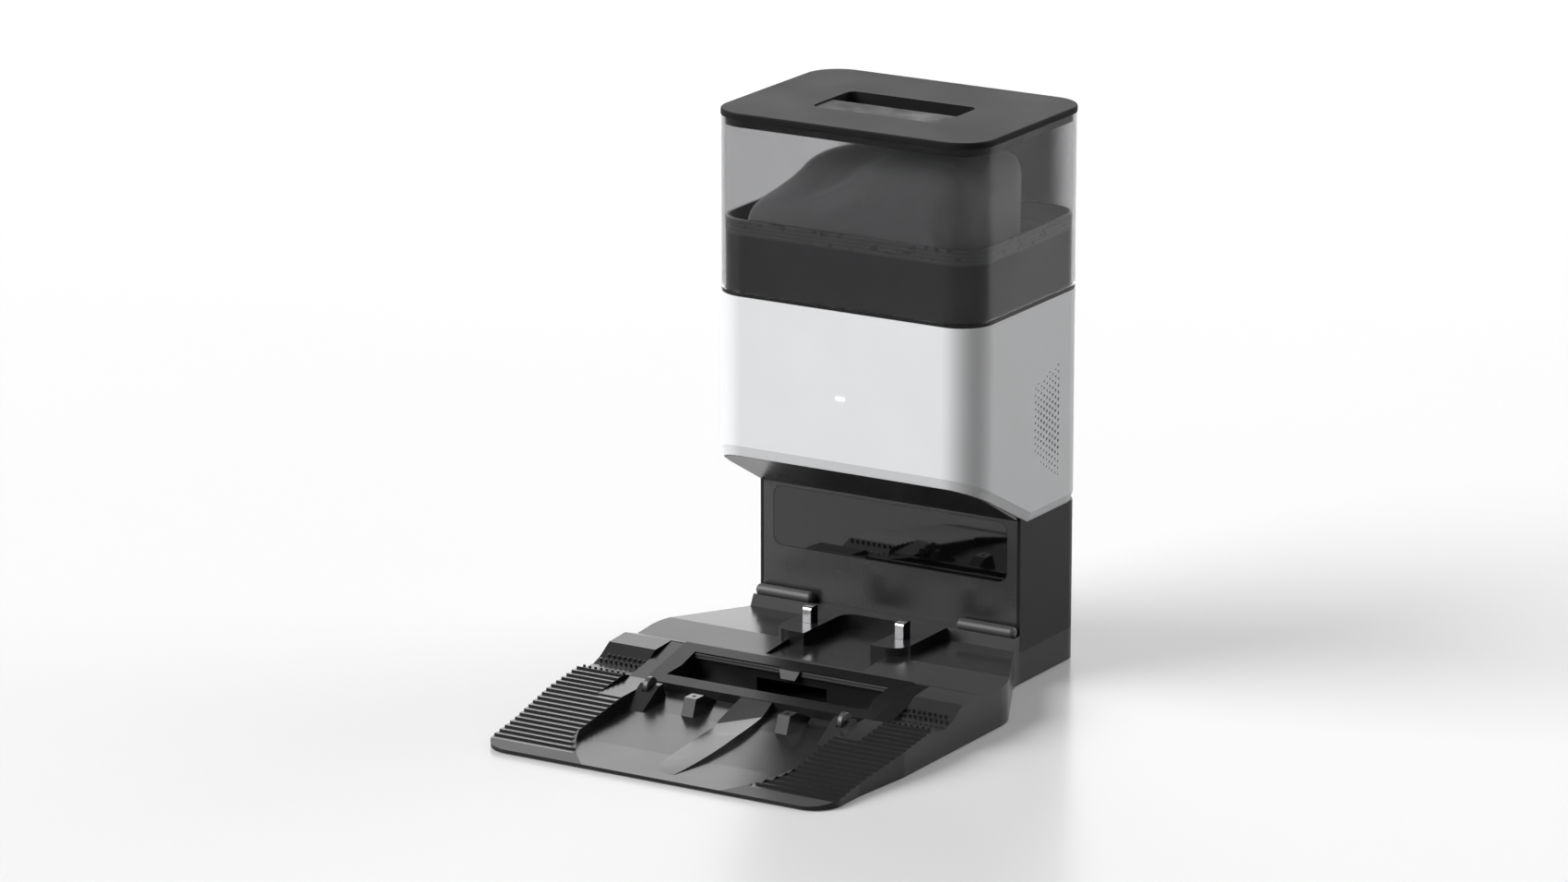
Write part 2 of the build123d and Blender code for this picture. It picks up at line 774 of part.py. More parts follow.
with BuildPart() as riser_gasket:
    with BuildSketch(Plane.XY.offset(column_floor)):
        with Locations((0, riser_middle)):
            Rectangle(2 * riser_half, riser_depth)
            Rectangle(2 * (riser_half - riser_wall), riser_depth - 2 * riser_wall, mode=Mode.SUBTRACT)
    extrude(amount=gasket_height)
riser_gasket.part.label = "riser_gasket"
export_step(riser_gasket.part, "parts/riser_gasket.step")

# White head shell: a sleeve with a slanted lower edge, a bevel along it, and the vent
edge_slope = (shell_front_bottom - shell_rear_bottom) / 83.5
vertex_setback = head_setback + (shell_front_bottom - shell_rear_bottom) / edge_slope
inner_width = head_width - 2 * shell_wall
inner_depth = head_depth - 2 * shell_wall
inner_radius = head_radius - shell_wall
lens_height = 222.0
lens_width = 8.0
lens_tall = 2.4
boss_x = 9.0
boss_length = 2.1


def shell_edge(setback):
    return max(shell_rear_bottom, shell_front_bottom - edge_slope * (setback - head_setback))


def vent_low(setback):
    if setback < vent_front + 8:
        return 176.0 - 1.3 * (setback - vent_front)
    return max(vent_bottom, 165.6 - 0.78 * (setback - vent_front - 8))


def vent_high(setback):
    return 226.5 + 0.33 * (setback - vent_front)


vent_holes = []
for column in range(vent_columns):
    for row in range(vent_rows):
        setback = vent_front + column * vent_pitch
        height = vent_bottom + (row + 0.5 * (column % 2)) * vent_row_pitch
        clearance = min(height - vent_low(setback), vent_high(setback) - height) / 24.0
        clearance = min(clearance, (setback - vent_front + vent_pitch) / 13.0)
        if clearance >= 0:
            radius = vent_small_radius + (vent_hole_radius - vent_small_radius) * min(1.0, clearance)
            vent_holes.append((setback, height, radius))

with BuildPart() as white_shell:
    with BuildSketch(Plane.XY.offset(shell_rear_bottom)):
        with Locations((0, head_middle)):
            RectangleRounded(head_width, head_depth, head_radius)
    extrude(amount=shell_top - shell_rear_bottom)
    with BuildSketch(Plane.YZ):
        slant = [
            (head_setback - 10, shell_front_bottom + 10 * edge_slope),
            (vertex_setback, shell_rear_bottom),
            (vertex_setback, shell_rear_bottom - 10),
            (head_setback - 10, shell_rear_bottom - 10),
        ]
        Polygon(*side(slant), align=None)
    extrude(amount=head_width, both=True, mode=Mode.SUBTRACT)
    bottom_faces = [face for face in white_shell.faces() if face.normal_at().Z < -0.5]
    rim_edges = [edge for face in bottom_faces for edge in face.edges()]
    rim_edges = [edge for edge in rim_edges if abs(edge.center().Y - from_front(vertex_setback)) > 0.1]
    chamfer(rim_edges, length=7.0, length2=2.2)
    with BuildSketch(Plane.XY.offset(shell_rear_bottom - 1)):
        with Locations((0, head_middle)):
            RectangleRounded(inner_width, inner_depth, inner_radius)
    extrude(amount=shell_top - shell_rear_bottom + 2, mode=Mode.SUBTRACT)
    # Bosses for the status board, and the slot for its lens
    with BuildSketch(Plane.XZ.offset(-(head_front + shell_wall - 0.5))):
        with Locations((-boss_x, lens_height + 4), (boss_x, lens_height + 4)):
            Circle(2.2)
    extrude(amount=-boss_length - 0.5)
    with BuildSketch(Plane.XZ.offset(-head_front + 1)):
        with Locations((0, lens_height)):
            SlotOverall(lens_width + 2 * seat_gap, lens_tall + 2 * seat_gap)
    extrude(amount=-shell_wall - 2, mode=Mode.SUBTRACT)
    with BuildSketch(Plane.YZ.offset(head_width / 2 - shell_wall - 1)):
        for setback, height, radius in vent_holes:
            with Locations((from_front(setback), height)):
                Circle(radius)
    extrude(amount=shell_wall + 2, mode=Mode.SUBTRACT)
white_shell.part.label = "white_shell"
export_step(white_shell.part, "parts/white_shell.step")

# Column shell: sides, rear and floor, with a neck that the head slides over
neck_bottom = 114.0
neck_top = 168.5
neck_radius = 22.0
cover_half = 80.0
cover_low = 34.0
cover_high = 110.0
lug_size = 12.0
screw_boss_radius = 4.0
screw_boss_height = 7.9
power_board_bottom = 38.0
power_board_x = -67.0
power_board_setback = 384.0
board_xs = (power_board_x - 27.0, power_board_x + 27.0)
board_setbacks = (power_board_setback - 30.0, power_board_setback + 30.0)
board_feet = [(x, from_front(setback)) for x in board_xs for setback in board_setbacks]
neck_boss_x = column_half_width - 10.8
neck_boss_spots = [(neck_boss_x, 352.0), (neck_boss_x, 414.0)]
panel_wall = wall
with BuildPart() as column_shell:
    with BuildSketch(Plane.YZ):
        column_side = [
            (column_front, tail_top),
            (column_front, shell_edge(column_front) - seat_gap),
            (vertex_setback, shell_rear_bottom - seat_gap),
            (column_rear, shell_rear_bottom - seat_gap),
            (column_rear, tail_top),
        ]
        Polygon(*side(column_side), align=None)
    extrude(amount=column_half_width, both=True)
    with BuildSketch(Plane.XY.offset(tail_top)) as column_plan:
        with Locations((0, column_rear_y)):
            Rectangle(2 * column_half_width, column_rear - column_front, align=(Align.CENTER, Align.MAX))
        fillet(column_plan.vertices().group_by(Axis.Y)[-1], radius=column_radius)
    extrude(amount=shell_rear_bottom, mode=Mode.INTERSECT)
    with BuildSketch(Plane.XY.offset(column_floor)) as column_room:
        with Locations((0, column_rear_y - wall)):
            room_depth = column_rear - column_front
            Rectangle(2 * (column_half_width - wall), room_depth, align=(Align.CENTER, Align.MAX))
        fillet(column_room.vertices().group_by(Axis.Y)[-1], radius=column_radius - wall)
    extrude(amount=shell_rear_bottom, mode=Mode.SUBTRACT)
    # Room for the front panel's foot, which stands on the tail
    with BuildSketch(Plane.XY.offset(tail_top)):
        with Locations((0, column_front_y)):
            foot_room = panel_wall + seat_gap
            Rectangle(2 * (column_half_width - wall), foot_room, align=(Align.CENTER, Align.MIN))
    extrude(amount=shell_wall, mode=Mode.SUBTRACT)
    # Neck inside the walls
    with BuildSketch(Plane.XY.offset(neck_bottom)) as neck_plan:
        neck_front = column_front_y + panel_wall + 1.0
        with Locations((0, (neck_front + column_rear_y - wall) / 2)):
            Rectangle(2 * (column_half_width - wall), column_rear_y - wall - neck_front)
        fillet(neck_plan.vertices().group_by(Axis.Y)[-1], radius=neck_radius)
        with Locations((0, (neck_front + column_rear_y - 2 * wall) / 2 - wall)):
            neck_room = column_rear_y - neck_front
            Rectangle(2 * (column_half_width - 2 * wall), neck_room, mode=Mode.SUBTRACT)
    extrude(amount=neck_top - neck_bottom)
    with BuildSketch(Plane.XY.offset(neck_bottom)):
        with Locations(*mirrored(neck_boss_spots)):
            Circle(6.0)
    extrude(amount=neck_top - neck_bottom)
    with BuildSketch(Plane.XY.offset(neck_top)):
        with Locations(*mirrored(neck_boss_spots)):
            Circle(screw_radius)
    extrude(amount=-16, mode=Mode.SUBTRACT)
    # Floor: riser opening and screw bosses
    with BuildSketch(Plane.XY.offset(column_floor)):
        with Locations(*mirrored(base_screw_spots)):
            Circle(screw_boss_radius)
    extrude(amount=screw_boss_height)
    with BuildSketch(Plane.XY.offset(tail_top)):
        with Locations(*mirrored(base_screw_spots)):
            Circle(screw_radius)
    extrude(amount=shell_wall + screw_boss_height - 1.5, mode=Mode.SUBTRACT)
    with BuildSketch(Plane.XY.offset(column_floor)):
        with Locations(*board_feet):
            Circle(3.0)
    extrude(amount=power_board_bottom - column_floor)
    with BuildSketch(Plane.XY.offset(tail_top)):
        with Locations((0, riser_middle)):
            Rectangle(2 * (riser_half - riser_wall), riser_depth - 2 * riser_wall)
    extrude(amount=shell_wall, mode=Mode.SUBTRACT)
    # Opening for the rear cover, with lugs behind its corners
    with BuildSketch(Plane.XZ.offset(-column_rear_y - 1)):
        with Locations((0, (cover_low + cover_high) / 2)):
            Rectangle(2 * cover_half, cover_high - cover_low)
    extrude(amount=wall + 1, mode=Mode.SUBTRACT)
    lug_spots = [(sx * (cover_half - 4.0), sz) for sx in (-1, 1) for sz in (cover_low + 4.0, cover_high - 4.0)]
    with BuildSketch(Plane.XZ.offset(-(column_rear_y - wall))):
        with Locations(*lug_spots):
            Rectangle(lug_size, lug_size)
    extrude(amount=4.0)
    with BuildSketch(Plane.XZ.offset(-(column_rear_y - wall))):
        with Locations(*lug_spots):
            Circle(screw_radius)
    extrude(amount=4.0, mode=Mode.SUBTRACT)
column_shell.part.label = "column_shell"
export_step(column_shell.part, "parts/column_shell.step")

# Front panel: the column's wall and the slanted underside of the head, with a seat for the window
belly_front = head_setback + shell_wall + free_gap
belly_start = 126.6
belly_end = belly_start + (column_front - belly_front) * 0.5506
belly_rise = belly_end - belly_start
aperture_half = 56.0
aperture_low = 90.0
aperture_high = 112.0
standoff = 2.0
with BuildPart() as front_panel:
    with BuildSketch(Plane.YZ):
        panel_side = [
            (column_front, tail_top + seat_gap),
            (column_front, belly_start),
            (column_front, belly_start + panel_wall * 1.5),
            (column_front + panel_wall, belly_start + panel_wall * 1.2),
            (column_front + panel_wall, tail_top + seat_gap),
        ]
        Polygon(*side(panel_side), align=None)
    extrude(amount=column_half_width - wall - seat_gap, both=True)
    with BuildSketch(Plane.YZ):
        belly_side = [
            (belly_front, belly_end),
            (belly_front, belly_end + panel_wall * 1.2),
            (column_front, belly_start + panel_wall * 1.5),
            (column_front, belly_start),
        ]
        Polygon(*side(belly_side), align=None)
    extrude(amount=inner_width / 2 - 2 * seat_gap, both=True)
    with BuildSketch(Plane.XY) as belly_plan:
        with Locations((0, head_middle)):
            RectangleRounded(inner_width - 4 * seat_gap, inner_depth, inner_radius)
    extrude(amount=shell_top, mode=Mode.INTERSECT)
    with BuildSketch(Plane.XZ.offset(-column_front_y)):
        with Locations((0, (window_bottom + window_top) / 2)):
            window_height = window_top - window_bottom
            RectangleRounded(2 * (window_half_width + free_gap), window_height + 2 * free_gap, window_radius)
    extrude(amount=-window_thickness - 2 * seat_gap, mode=Mode.SUBTRACT)
    with BuildSketch(Plane.XZ.offset(-column_front_y)):
        with Locations((0, (aperture_low + aperture_high) / 2)):
            Rectangle(2 * aperture_half, aperture_high - aperture_low)
    extrude(amount=-2 * panel_wall, mode=Mode.SUBTRACT)
    with BuildSketch(Plane.XZ.offset(-column_front_y - panel_wall)):
        with Locations((-aperture_half - 6, 101.0), (aperture_half + 6, 101.0)):
            Circle(2.5)
    extrude(amount=-standoff)
front_panel.part.label = "front_panel"
export_step(front_panel.part, "parts/front_panel.step")

with BuildPart() as beacon_window:
    with BuildSketch(Plane.XZ.offset(-column_front_y - 2 * seat_gap)):
        with Locations((0, (window_bottom + window_top) / 2)):
            RectangleRounded(2 * window_half_width, window_height, window_radius)
    extrude(amount=-window_thickness)
beacon_window.part.label = "beacon_window"
export_step(beacon_window.part, "parts/beacon_window.step")

# Board with three emitters behind the window
with BuildPart() as beacon_board:
    with BuildSketch(Plane.XZ.offset(-column_front_y - panel_wall - standoff)):
        with Locations((0, 101.0)):
            Rectangle(2 * aperture_half + 24, aperture_high - aperture_low - 2)
    extrude(amount=-board_thickness)
    with BuildSketch(Plane.XZ.offset(-column_front_y - panel_wall - standoff)):
        with Locations((-40.0, 101.0), (0, 101.0), (40.0, 101.0)):
            Circle(2.5)
    extrude(amount=standoff)
beacon_board.part.label = "beacon_board"
export_step(beacon_board.part, "parts/beacon_board.step")

# Rear cover with the power inlet, held by four screws
inlet_x = 50.0
inlet_z = 56.0
inlet_width = 22.0
inlet_height = 13.0
inlet_depth = 20.0
screw_sink = 1.4
with BuildPart() as rear_cover:
    with BuildSketch(Plane.XZ.offset(-column_rear_y)):
        with Locations((0, (cover_low + cover_high) / 2)):
            RectangleRounded(2 * (cover_half - free_gap), cover_high - cover_low - 2 * free_gap, 1.0)
        with Locations((inlet_x, inlet_z)):
            Rectangle(inlet_width + 2 * seat_gap, inlet_height + 2 * seat_gap, mode=Mode.SUBTRACT)
        with Locations(*lug_spots):
            Circle(screw_radius + seat_gap, mode=Mode.SUBTRACT)
    extrude(amount=wall)
    with BuildSketch(Plane.XZ.offset(-column_rear_y)):
        with Locations(*lug_spots):
            Circle(screw_head_radius + seat_gap)
    extrude(amount=screw_sink, mode=Mode.SUBTRACT)
rear_cover.part.label = "rear_cover"
export_step(rear_cover.part, "parts/rear_cover.step")

with BuildPart() as power_inlet:
    with BuildSketch(Plane.XZ.offset(-column_rear_y)):
        with Locations((inlet_x, inlet_z)):
            Rectangle(inlet_width, inlet_height)
    extrude(amount=inlet_depth)
    with BuildSketch(Plane.XZ.offset(-column_rear_y + wall)):
        with Locations((inlet_x, inlet_z)):
            Rectangle(inlet_width + 4, inlet_height + 4)
    extrude(amount=1.5)
    with BuildSketch(Plane.XZ.offset(-column_rear_y)):
        with Locations((inlet_x - 4.3, inlet_z), (inlet_x + 4.3, inlet_z)):
            Circle(4.6)
        with Locations((inlet_x, inlet_z)):
            Rectangle(8.6, 7.4)
    extrude(amount=13.0, mode=Mode.SUBTRACT)
    with BuildSketch(Plane.XZ.offset(-column_rear_y + 3.0)):
        with Locations((inlet_x - 4.3, inlet_z), (inlet_x + 4.3, inlet_z)):
            Circle(1.2)
    extrude(amount=12.0)
power_inlet.part.label = "power_inlet"
export_step(power_inlet.part, "parts/power_inlet.step")

# Power board on four feet, with a transformer, a capacitor and a connector
with BuildPart() as power_board:
    with BuildSketch(Plane.XY.offset(power_board_bottom)):
        with Locations((power_board_x, from_front(power_board_setback))):
            Rectangle(66.0, 72.0)
    extrude(amount=board_thickness)
    with BuildSketch(Plane.XY.offset(power_board_bottom + board_thickness)):
        with Locations((power_board_x - 15.0, from_front(power_board_setback - 14.0))):
            Rectangle(24.0, 28.0)
    extrude(amount=20.0)
    with BuildSketch(Plane.XY.offset(power_board_bottom + board_thickness)):
        capacitor_y = from_front(power_board_setback + 14.0)
        with Locations((power_board_x + 15.0, capacitor_y), (power_board_x - 11.0, capacitor_y)):
            Circle(8.0)
    extrude(amount=24.0)
    with BuildSketch(Plane.XY.offset(power_board_bottom + board_thickness)):
        with Locations((power_board_x + 25.0, from_front(power_board_setback - 18.0))):
            Rectangle(10.0, 20.0)
    extrude(amount=9.0)
power_board.part.label = "power_board"
export_step(power_board.part, "parts/power_board.step")

# Screws: head against the outer face, shank into its boss
shank_radius = screw_radius - seat_gap
with BuildPart() as base_screws:
    with BuildSketch(Plane.XY.offset(tail_top - wall)):
        with Locations(*mirrored(base_screw_spots)):
            Circle(screw_head_radius)
    extrude(amount=-screw_head_height)
    with BuildSketch(Plane.XY.offset(tail_top - wall)):
        with Locations(*mirrored(base_screw_spots)):
            Circle(shank_radius)
    extrude(amount=wall + shell_wall + screw_boss_height - 2.5)
base_screws.part.label = "base_screws"
export_step(base_screws.part, "parts/base_screws.step")

with BuildPart() as cover_screws:
    with BuildSketch(Plane.XZ.offset(-column_rear_y)):
        with Locations(*lug_spots):
            Circle(screw_head_radius)
    extrude(amount=screw_sink)
    with BuildSketch(Plane.XZ.offset(-column_rear_y + screw_sink)):
        with Locations(*lug_spots):
            Circle(shank_radius)
    extrude(amount=wall + 4.0 - screw_sink)
    with BuildSketch(Plane.XZ.offset(-column_rear_y)):
        with Locations(*lug_spots):
            Rectangle(4.0, 0.8)
            Rectangle(0.8, 4.0)
    extrude(amount=0.8, mode=Mode.SUBTRACT)
cover_screws.part.label = "cover_screws"
export_step(cover_screws.part, "parts/cover_screws.step")

# Tray on the neck, which carries the motor, the filter and the boards
tray_thickness = 3.0
tray_top = neck_top + tray_thickness
board_x = -97.2
board_front = 290.0
board_rear = 400.0
with BuildPart() as head_tray:
    with BuildSketch(Plane.XY.offset(neck_top)):
        with Locations((0, head_middle)):
            RectangleRounded(*head_plan(shell_wall + free_gap))
        with Locations((0, riser_middle)):
            riser_room = (2 * (riser_half + free_gap), riser_depth + 2 * free_gap)
            Rectangle(*riser_room, mode=Mode.SUBTRACT)
        with Locations(*mirrored(neck_boss_spots)):
            Circle(screw_radius, mode=Mode.SUBTRACT)
    extrude(amount=tray_thickness)
    with BuildSketch(Plane.XY.offset(tray_top)):
        with Locations((board_x, from_front(board_front + 5)), (board_x, from_front(board_rear - 5))):
            Rectangle(board_thickness + 6, 8.0)
            Rectangle(board_thickness + 2 * seat_gap, 8.0, mode=Mode.SUBTRACT)
    extrude(amount=14.0)
head_tray.part.label = "head_tray"
export_step(head_tray.part, "parts/head_tray.step")

with BuildPart() as tray_screws:
    with BuildSketch(Plane.XY.offset(tray_top)):
        with Locations(*mirrored(neck_boss_spots)):
            Circle(screw_head_radius)
    extrude(amount=screw_head_height)
    with BuildSketch(Plane.XY.offset(tray_top)):
        with Locations(*mirrored(neck_boss_spots)):
            Circle(shank_radius)
    extrude(amount=-12.0)
tray_screws.part.label = "tray_screws"
export_step(tray_screws.part, "parts/tray_screws.step")

with BuildPart() as control_board:
    with BuildSketch(Plane.YZ.offset(board_x - board_thickness / 2)):
        with Locations((from_front((board_front + board_rear) / 2), tray_top + seat_gap)):
            Rectangle(board_rear - board_front, 73.0, align=(Align.CENTER, Align.MIN))
    extrude(amount=board_thickness)
    with BuildSketch(Plane.YZ.offset(board_x + board_thickness / 2)):
        with Locations((from_front(board_front + 40.0), tray_top + 43.5)):
            Rectangle(18.0, 18.0)
        driver_y = from_front(board_rear - 35.0)
        with Locations((driver_y, tray_top + 50.5), (driver_y, tray_top + 33.5)):
            Rectangle(14.0, 8.0)
    extrude(amount=2.5)
    with BuildSketch(Plane.YZ.offset(board_x + board_thickness / 2)):
        plug_z = tray_top + 63.5
        with Locations((from_front(board_front + 18.0), plug_z), (from_front(board_rear - 15.0), plug_z)):
            Rectangle(20.0, 8.0)
    extrude(amount=8.0)
control_board.part.label = "control_board"
export_step(control_board.part, "parts/control_board.step")

# Motor housing on the tray, with a port for the exhaust on its right
housing_half = 52.0
housing_front = 290.0
housing_rear = 386.0
housing_wall = 2.2
housing_top = 258.0
housing_middle = from_front((housing_front + housing_rear) / 2)
housing_depth = housing_rear - housing_front
housing_floor = tray_top + housing_wall
exhaust_front = 350.0
exhaust_rear = 382.0
exhaust_low = 182.0
exhaust_high = 226.0
exhaust_middle = (from_front((exhaust_front + exhaust_rear) / 2), (exhaust_low + exhaust_high) / 2)
with BuildPart() as motor_housing:
    with BuildSketch(Plane.XY.offset(tray_top)):
        with Locations((0, housing_middle)):
            RectangleRounded(2 * housing_half, housing_depth, 8.0)
    extrude(amount=housing_top - tray_top)
    with BuildSketch(Plane.XY.offset(housing_floor)):
        with Locations((0, housing_middle)):
            room = (2 * (housing_half - housing_wall), housing_depth - 2 * housing_wall)
            RectangleRounded(*room, 8.0 - housing_wall)
    extrude(amount=housing_top - housing_floor, mode=Mode.SUBTRACT)
    with BuildSketch(Plane.YZ.offset(housing_half - 2 * housing_wall)):
        with Locations(exhaust_middle):
            Rectangle(exhaust_rear - exhaust_front - 6, exhaust_high - exhaust_low)
    extrude(amount=3 * housing_wall, mode=Mode.SUBTRACT)
motor_housing.part.label = "motor_housing"
export_step(motor_housing.part, "parts/motor_housing.step")

# Suction motor on its rubber ring
motor_ring = 2.8
motor_bottom = housing_floor + motor_ring
motor_radius = 36.0
flange_bottom = 222.0
flange_top = 226.0
flange_radius = 44.0
shaft_radius = 3.0
shaft_gap = 0.06
shaft_bottom = 205.0
with BuildPart() as suction_motor:
    with BuildSketch(Plane.XY.offset(motor_bottom)):
        with Locations((0, housing_middle)):
            Circle(motor_radius)
    extrude(amount=flange_top - motor_bottom)
    with BuildSketch(Plane.XY.offset(flange_bottom)):
        with Locations((0, housing_middle)):
            Circle(flange_radius)
    extrude(amount=flange_top - flange_bottom)
    with BuildSketch(Plane.XY.offset(flange_top)):
        with Locations((0, housing_middle)):
            with PolarLocations((motor_radius + flange_radius) / 2, 8):
                Circle(2.8)
    extrude(amount=flange_bottom - flange_top, mode=Mode.SUBTRACT)
    with BuildSketch(Plane.XY.offset(flange_top)):
        with Locations((0, housing_middle)):
            Circle(shaft_radius + shaft_gap)
    extrude(amount=shaft_bottom - flange_top - 1, mode=Mode.SUBTRACT)
suction_motor.part.label = "suction_motor"
export_step(suction_motor.part, "parts/suction_motor.step")

with BuildPart() as motor_ring_lower:
    with BuildSketch(Plane.XY.offset(housing_floor)):
        with Locations((0, housing_middle)):
            Circle(30.0)
            Circle(20.0, mode=Mode.SUBTRACT)
    extrude(amount=motor_ring)
motor_ring_lower.part.label = "motor_ring_lower"
export_step(motor_ring_lower.part, "parts/motor_ring_lower.step")

# Fan cover with the inlet in its top
fan_wall = 1.8
fan_top = 252.0
inlet_radius = 16.0
with BuildPart() as fan_cover:
    with BuildSketch(Plane.XY.offset(flange_top)):
        with Locations((0, housing_middle)):
            Circle(flange_radius)
    extrude(amount=fan_top - flange_top)
    with BuildSketch(Plane.XY.offset(flange_top)):
        with Locations((0, housing_middle)):
            Circle(flange_radius - fan_wall)
    extrude(amount=fan_top - flange_top - fan_wall, mode=Mode.SUBTRACT)
    with BuildSketch(Plane.XY.offset(fan_top)):
        with Locations((0, housing_middle)):
            Circle(inlet_radius)
    extrude(amount=-2 * fan_wall, mode=Mode.SUBTRACT)
fan_cover.part.label = "fan_cover"
export_step(fan_cover.part, "parts/fan_cover.step")

# Impeller: shaft, hub, back disc, blades and shroud
fan_radius = 40.0
disc_bottom = flange_top + 4.0
disc_thickness = 2.0
blade_height = 12.0
blade_count = 9
shroud_bottom = disc_bottom + disc_thickness + blade_height
with BuildPart() as fan_impeller:
    with BuildSketch(Plane.XY.offset(shaft_bottom)):
        with Locations((0, housing_middle)):
            Circle(shaft_radius)
    extrude(amount=shroud_bottom - shaft_bottom)
    with BuildSketch(Plane.XY.offset(disc_bottom)):
        with Locations((0, housing_middle)):
            Circle(fan_radius)
    extrude(amount=disc_thickness)
    with BuildSketch(Plane.XY.offset(disc_bottom)):
        with Locations((0, housing_middle)):
            Circle(7.0)
    extrude(amount=disc_thickness + blade_height)
    with BuildSketch(Plane.XY.offset(disc_bottom + disc_thickness)):
        with Locations((0, housing_middle)):
            with PolarLocations(fan_radius * 0.62, blade_count):
                Rectangle(fan_radius * 0.72, 1.4)
    extrude(amount=blade_height)
    with BuildSketch(Plane.XY.offset(shroud_bottom)):
        with Locations((0, housing_middle)):
            Circle(fan_radius)
            Circle(inlet_radius + 1, mode=Mode.SUBTRACT)
    extrude(amount=1.5)
fan_impeller.part.label = "fan_impeller"
export_step(fan_impeller.part, "parts/fan_impeller.step")

with BuildPart() as motor_ring_upper:
    with BuildSketch(Plane.XY.offset(fan_top)):
        with Locations((0, housing_middle)):
            Circle(inlet_radius + 10)
            Circle(inlet_radius + 1, mode=Mode.SUBTRACT)
    extrude(amount=housing_top - fan_top)
motor_ring_upper.part.label = "motor_ring_upper"
export_step(motor_ring_upper.part, "parts/motor_ring_upper.step")

# Filter frame on the housing and its pleated filter
frame_half = 62.0
filter_front = 284.0
filter_rear = 386.0
filter_wall = 2.0
ledge = 4.0
filter_seat = housing_top + filter_wall + ledge
filter_middle = from_front((filter_front + filter_rear) / 2)
filter_depth = filter_rear - filter_front
with BuildPart() as filter_frame:
    with BuildSketch(Plane.XY.offset(housing_top)):
        with Locations((0, filter_middle)):
            Rectangle(2 * frame_half, filter_depth)
        with Locations((0, housing_middle)):
            Circle(inlet_radius + 1, mode=Mode.SUBTRACT)
    extrude(amount=shell_top - 2 * seat_gap - housing_top)
    with BuildSketch(Plane.XY.offset(filter_seat)):
        with Locations((0, filter_middle)):
            Rectangle(2 * (frame_half - filter_wall), filter_depth - 2 * filter_wall)
    extrude(amount=shell_top, mode=Mode.SUBTRACT)
    with BuildSketch(Plane.XY.offset(housing_top + filter_wall)):
        with Locations((0, filter_middle)):
            inset = 2 * (filter_wall + ledge)
            Rectangle(2 * frame_half - inset, filter_depth - inset)
    extrude(amount=shell_top, mode=Mode.SUBTRACT)
filter_frame.part.label = "filter_frame"
export_step(filter_frame.part, "parts/filter_frame.step")

pleat_count = 14
pleat_height = 18.0
pleat_skin = 2.4
pleat_half = frame_half - filter_wall - free_gap
pleat_xs = [-pleat_half + index * pleat_half / pleat_count for index in range(2 * pleat_count + 1)]
pleat_lower = [(x, filter_seat + seat_gap + pleat_height * (index % 2)) for index, x in enumerate(pleat_xs)]
pleat_upper = [(x, height + pleat_skin) for x, height in reversed(pleat_lower)]
with BuildPart() as filter_media:
    with BuildSketch(Plane.XZ.offset(-from_front(filter_rear - filter_wall - free_gap))):
        Polygon(*(pleat_lower + pleat_upper), align=None)
    extrude(amount=filter_depth - 2 * filter_wall - 2 * free_gap)
filter_media.part.label = "filter_media"
export_step(filter_media.part, "parts/filter_media.step")

# Exhaust: duct from the housing's port to the foam behind the vent
foam_thickness = 3.8
foam_outer = head_width / 2 - shell_wall - seat_gap
foam_front = 350.0
foam_rear = 397.0
foam_top = 242.0
duct_end = foam_outer - foam_thickness
with BuildPart() as exhaust_duct:
    with BuildSketch(Plane.YZ.offset(housing_half)):
        with Locations(exhaust_middle):
            Rectangle(exhaust_rear - exhaust_front, exhaust_high - exhaust_low + 4)
    extrude(amount=duct_end - housing_half)
    with BuildSketch(Plane.YZ.offset(duct_end - 2.0)):
        with Locations((from_front(foam_front), foam_top)):
            Rectangle(foam_rear - foam_front, foam_top - tray_top - 3.5, align=(Align.MIN, Align.MAX))
    extrude(amount=2.0)
    with BuildSketch(Plane.YZ.offset(housing_half)):
        with Locations(exhaust_middle):
            Rectangle(exhaust_rear - exhaust_front - 4, exhaust_high - exhaust_low)
    extrude(amount=duct_end - housing_half, mode=Mode.SUBTRACT)
exhaust_duct.part.label = "exhaust_duct"
export_step(exhaust_duct.part, "parts/exhaust_duct.step")

with BuildPart() as exhaust_foam:
    with BuildSketch(Plane.YZ.offset(duct_end)):
        with Locations((from_front(foam_front), foam_top)):
            Rectangle(foam_rear - foam_front, foam_top - tray_top - seat_gap, align=(Align.MIN, Align.MAX))
    extrude(amount=foam_thickness)
exhaust_foam.part.label = "exhaust_foam"
export_step(exhaust_foam.part, "parts/exhaust_foam.step")

# Status light: lens in the head's front, and its board on two bosses
with BuildPart() as status_lens:
    with BuildSketch(Plane.XZ.offset(-head_front - seat_gap)):
        with Locations((0, lens_height)):
            SlotOverall(lens_width, lens_tall)
    extrude(amount=-shell_wall - boss_length + 2 * seat_gap)
    with BuildSketch(Plane.XZ.offset(-head_front - shell_wall)):
        with Locations((0, lens_height)):
            Rectangle(lens_width + 4, lens_tall + 2)
    extrude(amount=-1.0)
status_lens.part.label = "status_lens"
export_step(status_lens.part, "parts/status_lens.step")

with BuildPart() as status_board:
    with BuildSketch(Plane.XZ.offset(-head_front - shell_wall - boss_length)):
        with Locations((0, lens_height)):
            Rectangle(24.0, 16.0)
    extrude(amount=-board_thickness)
status_board.part.label = "status_board"
export_step(status_board.part, "parts/status_board.step")

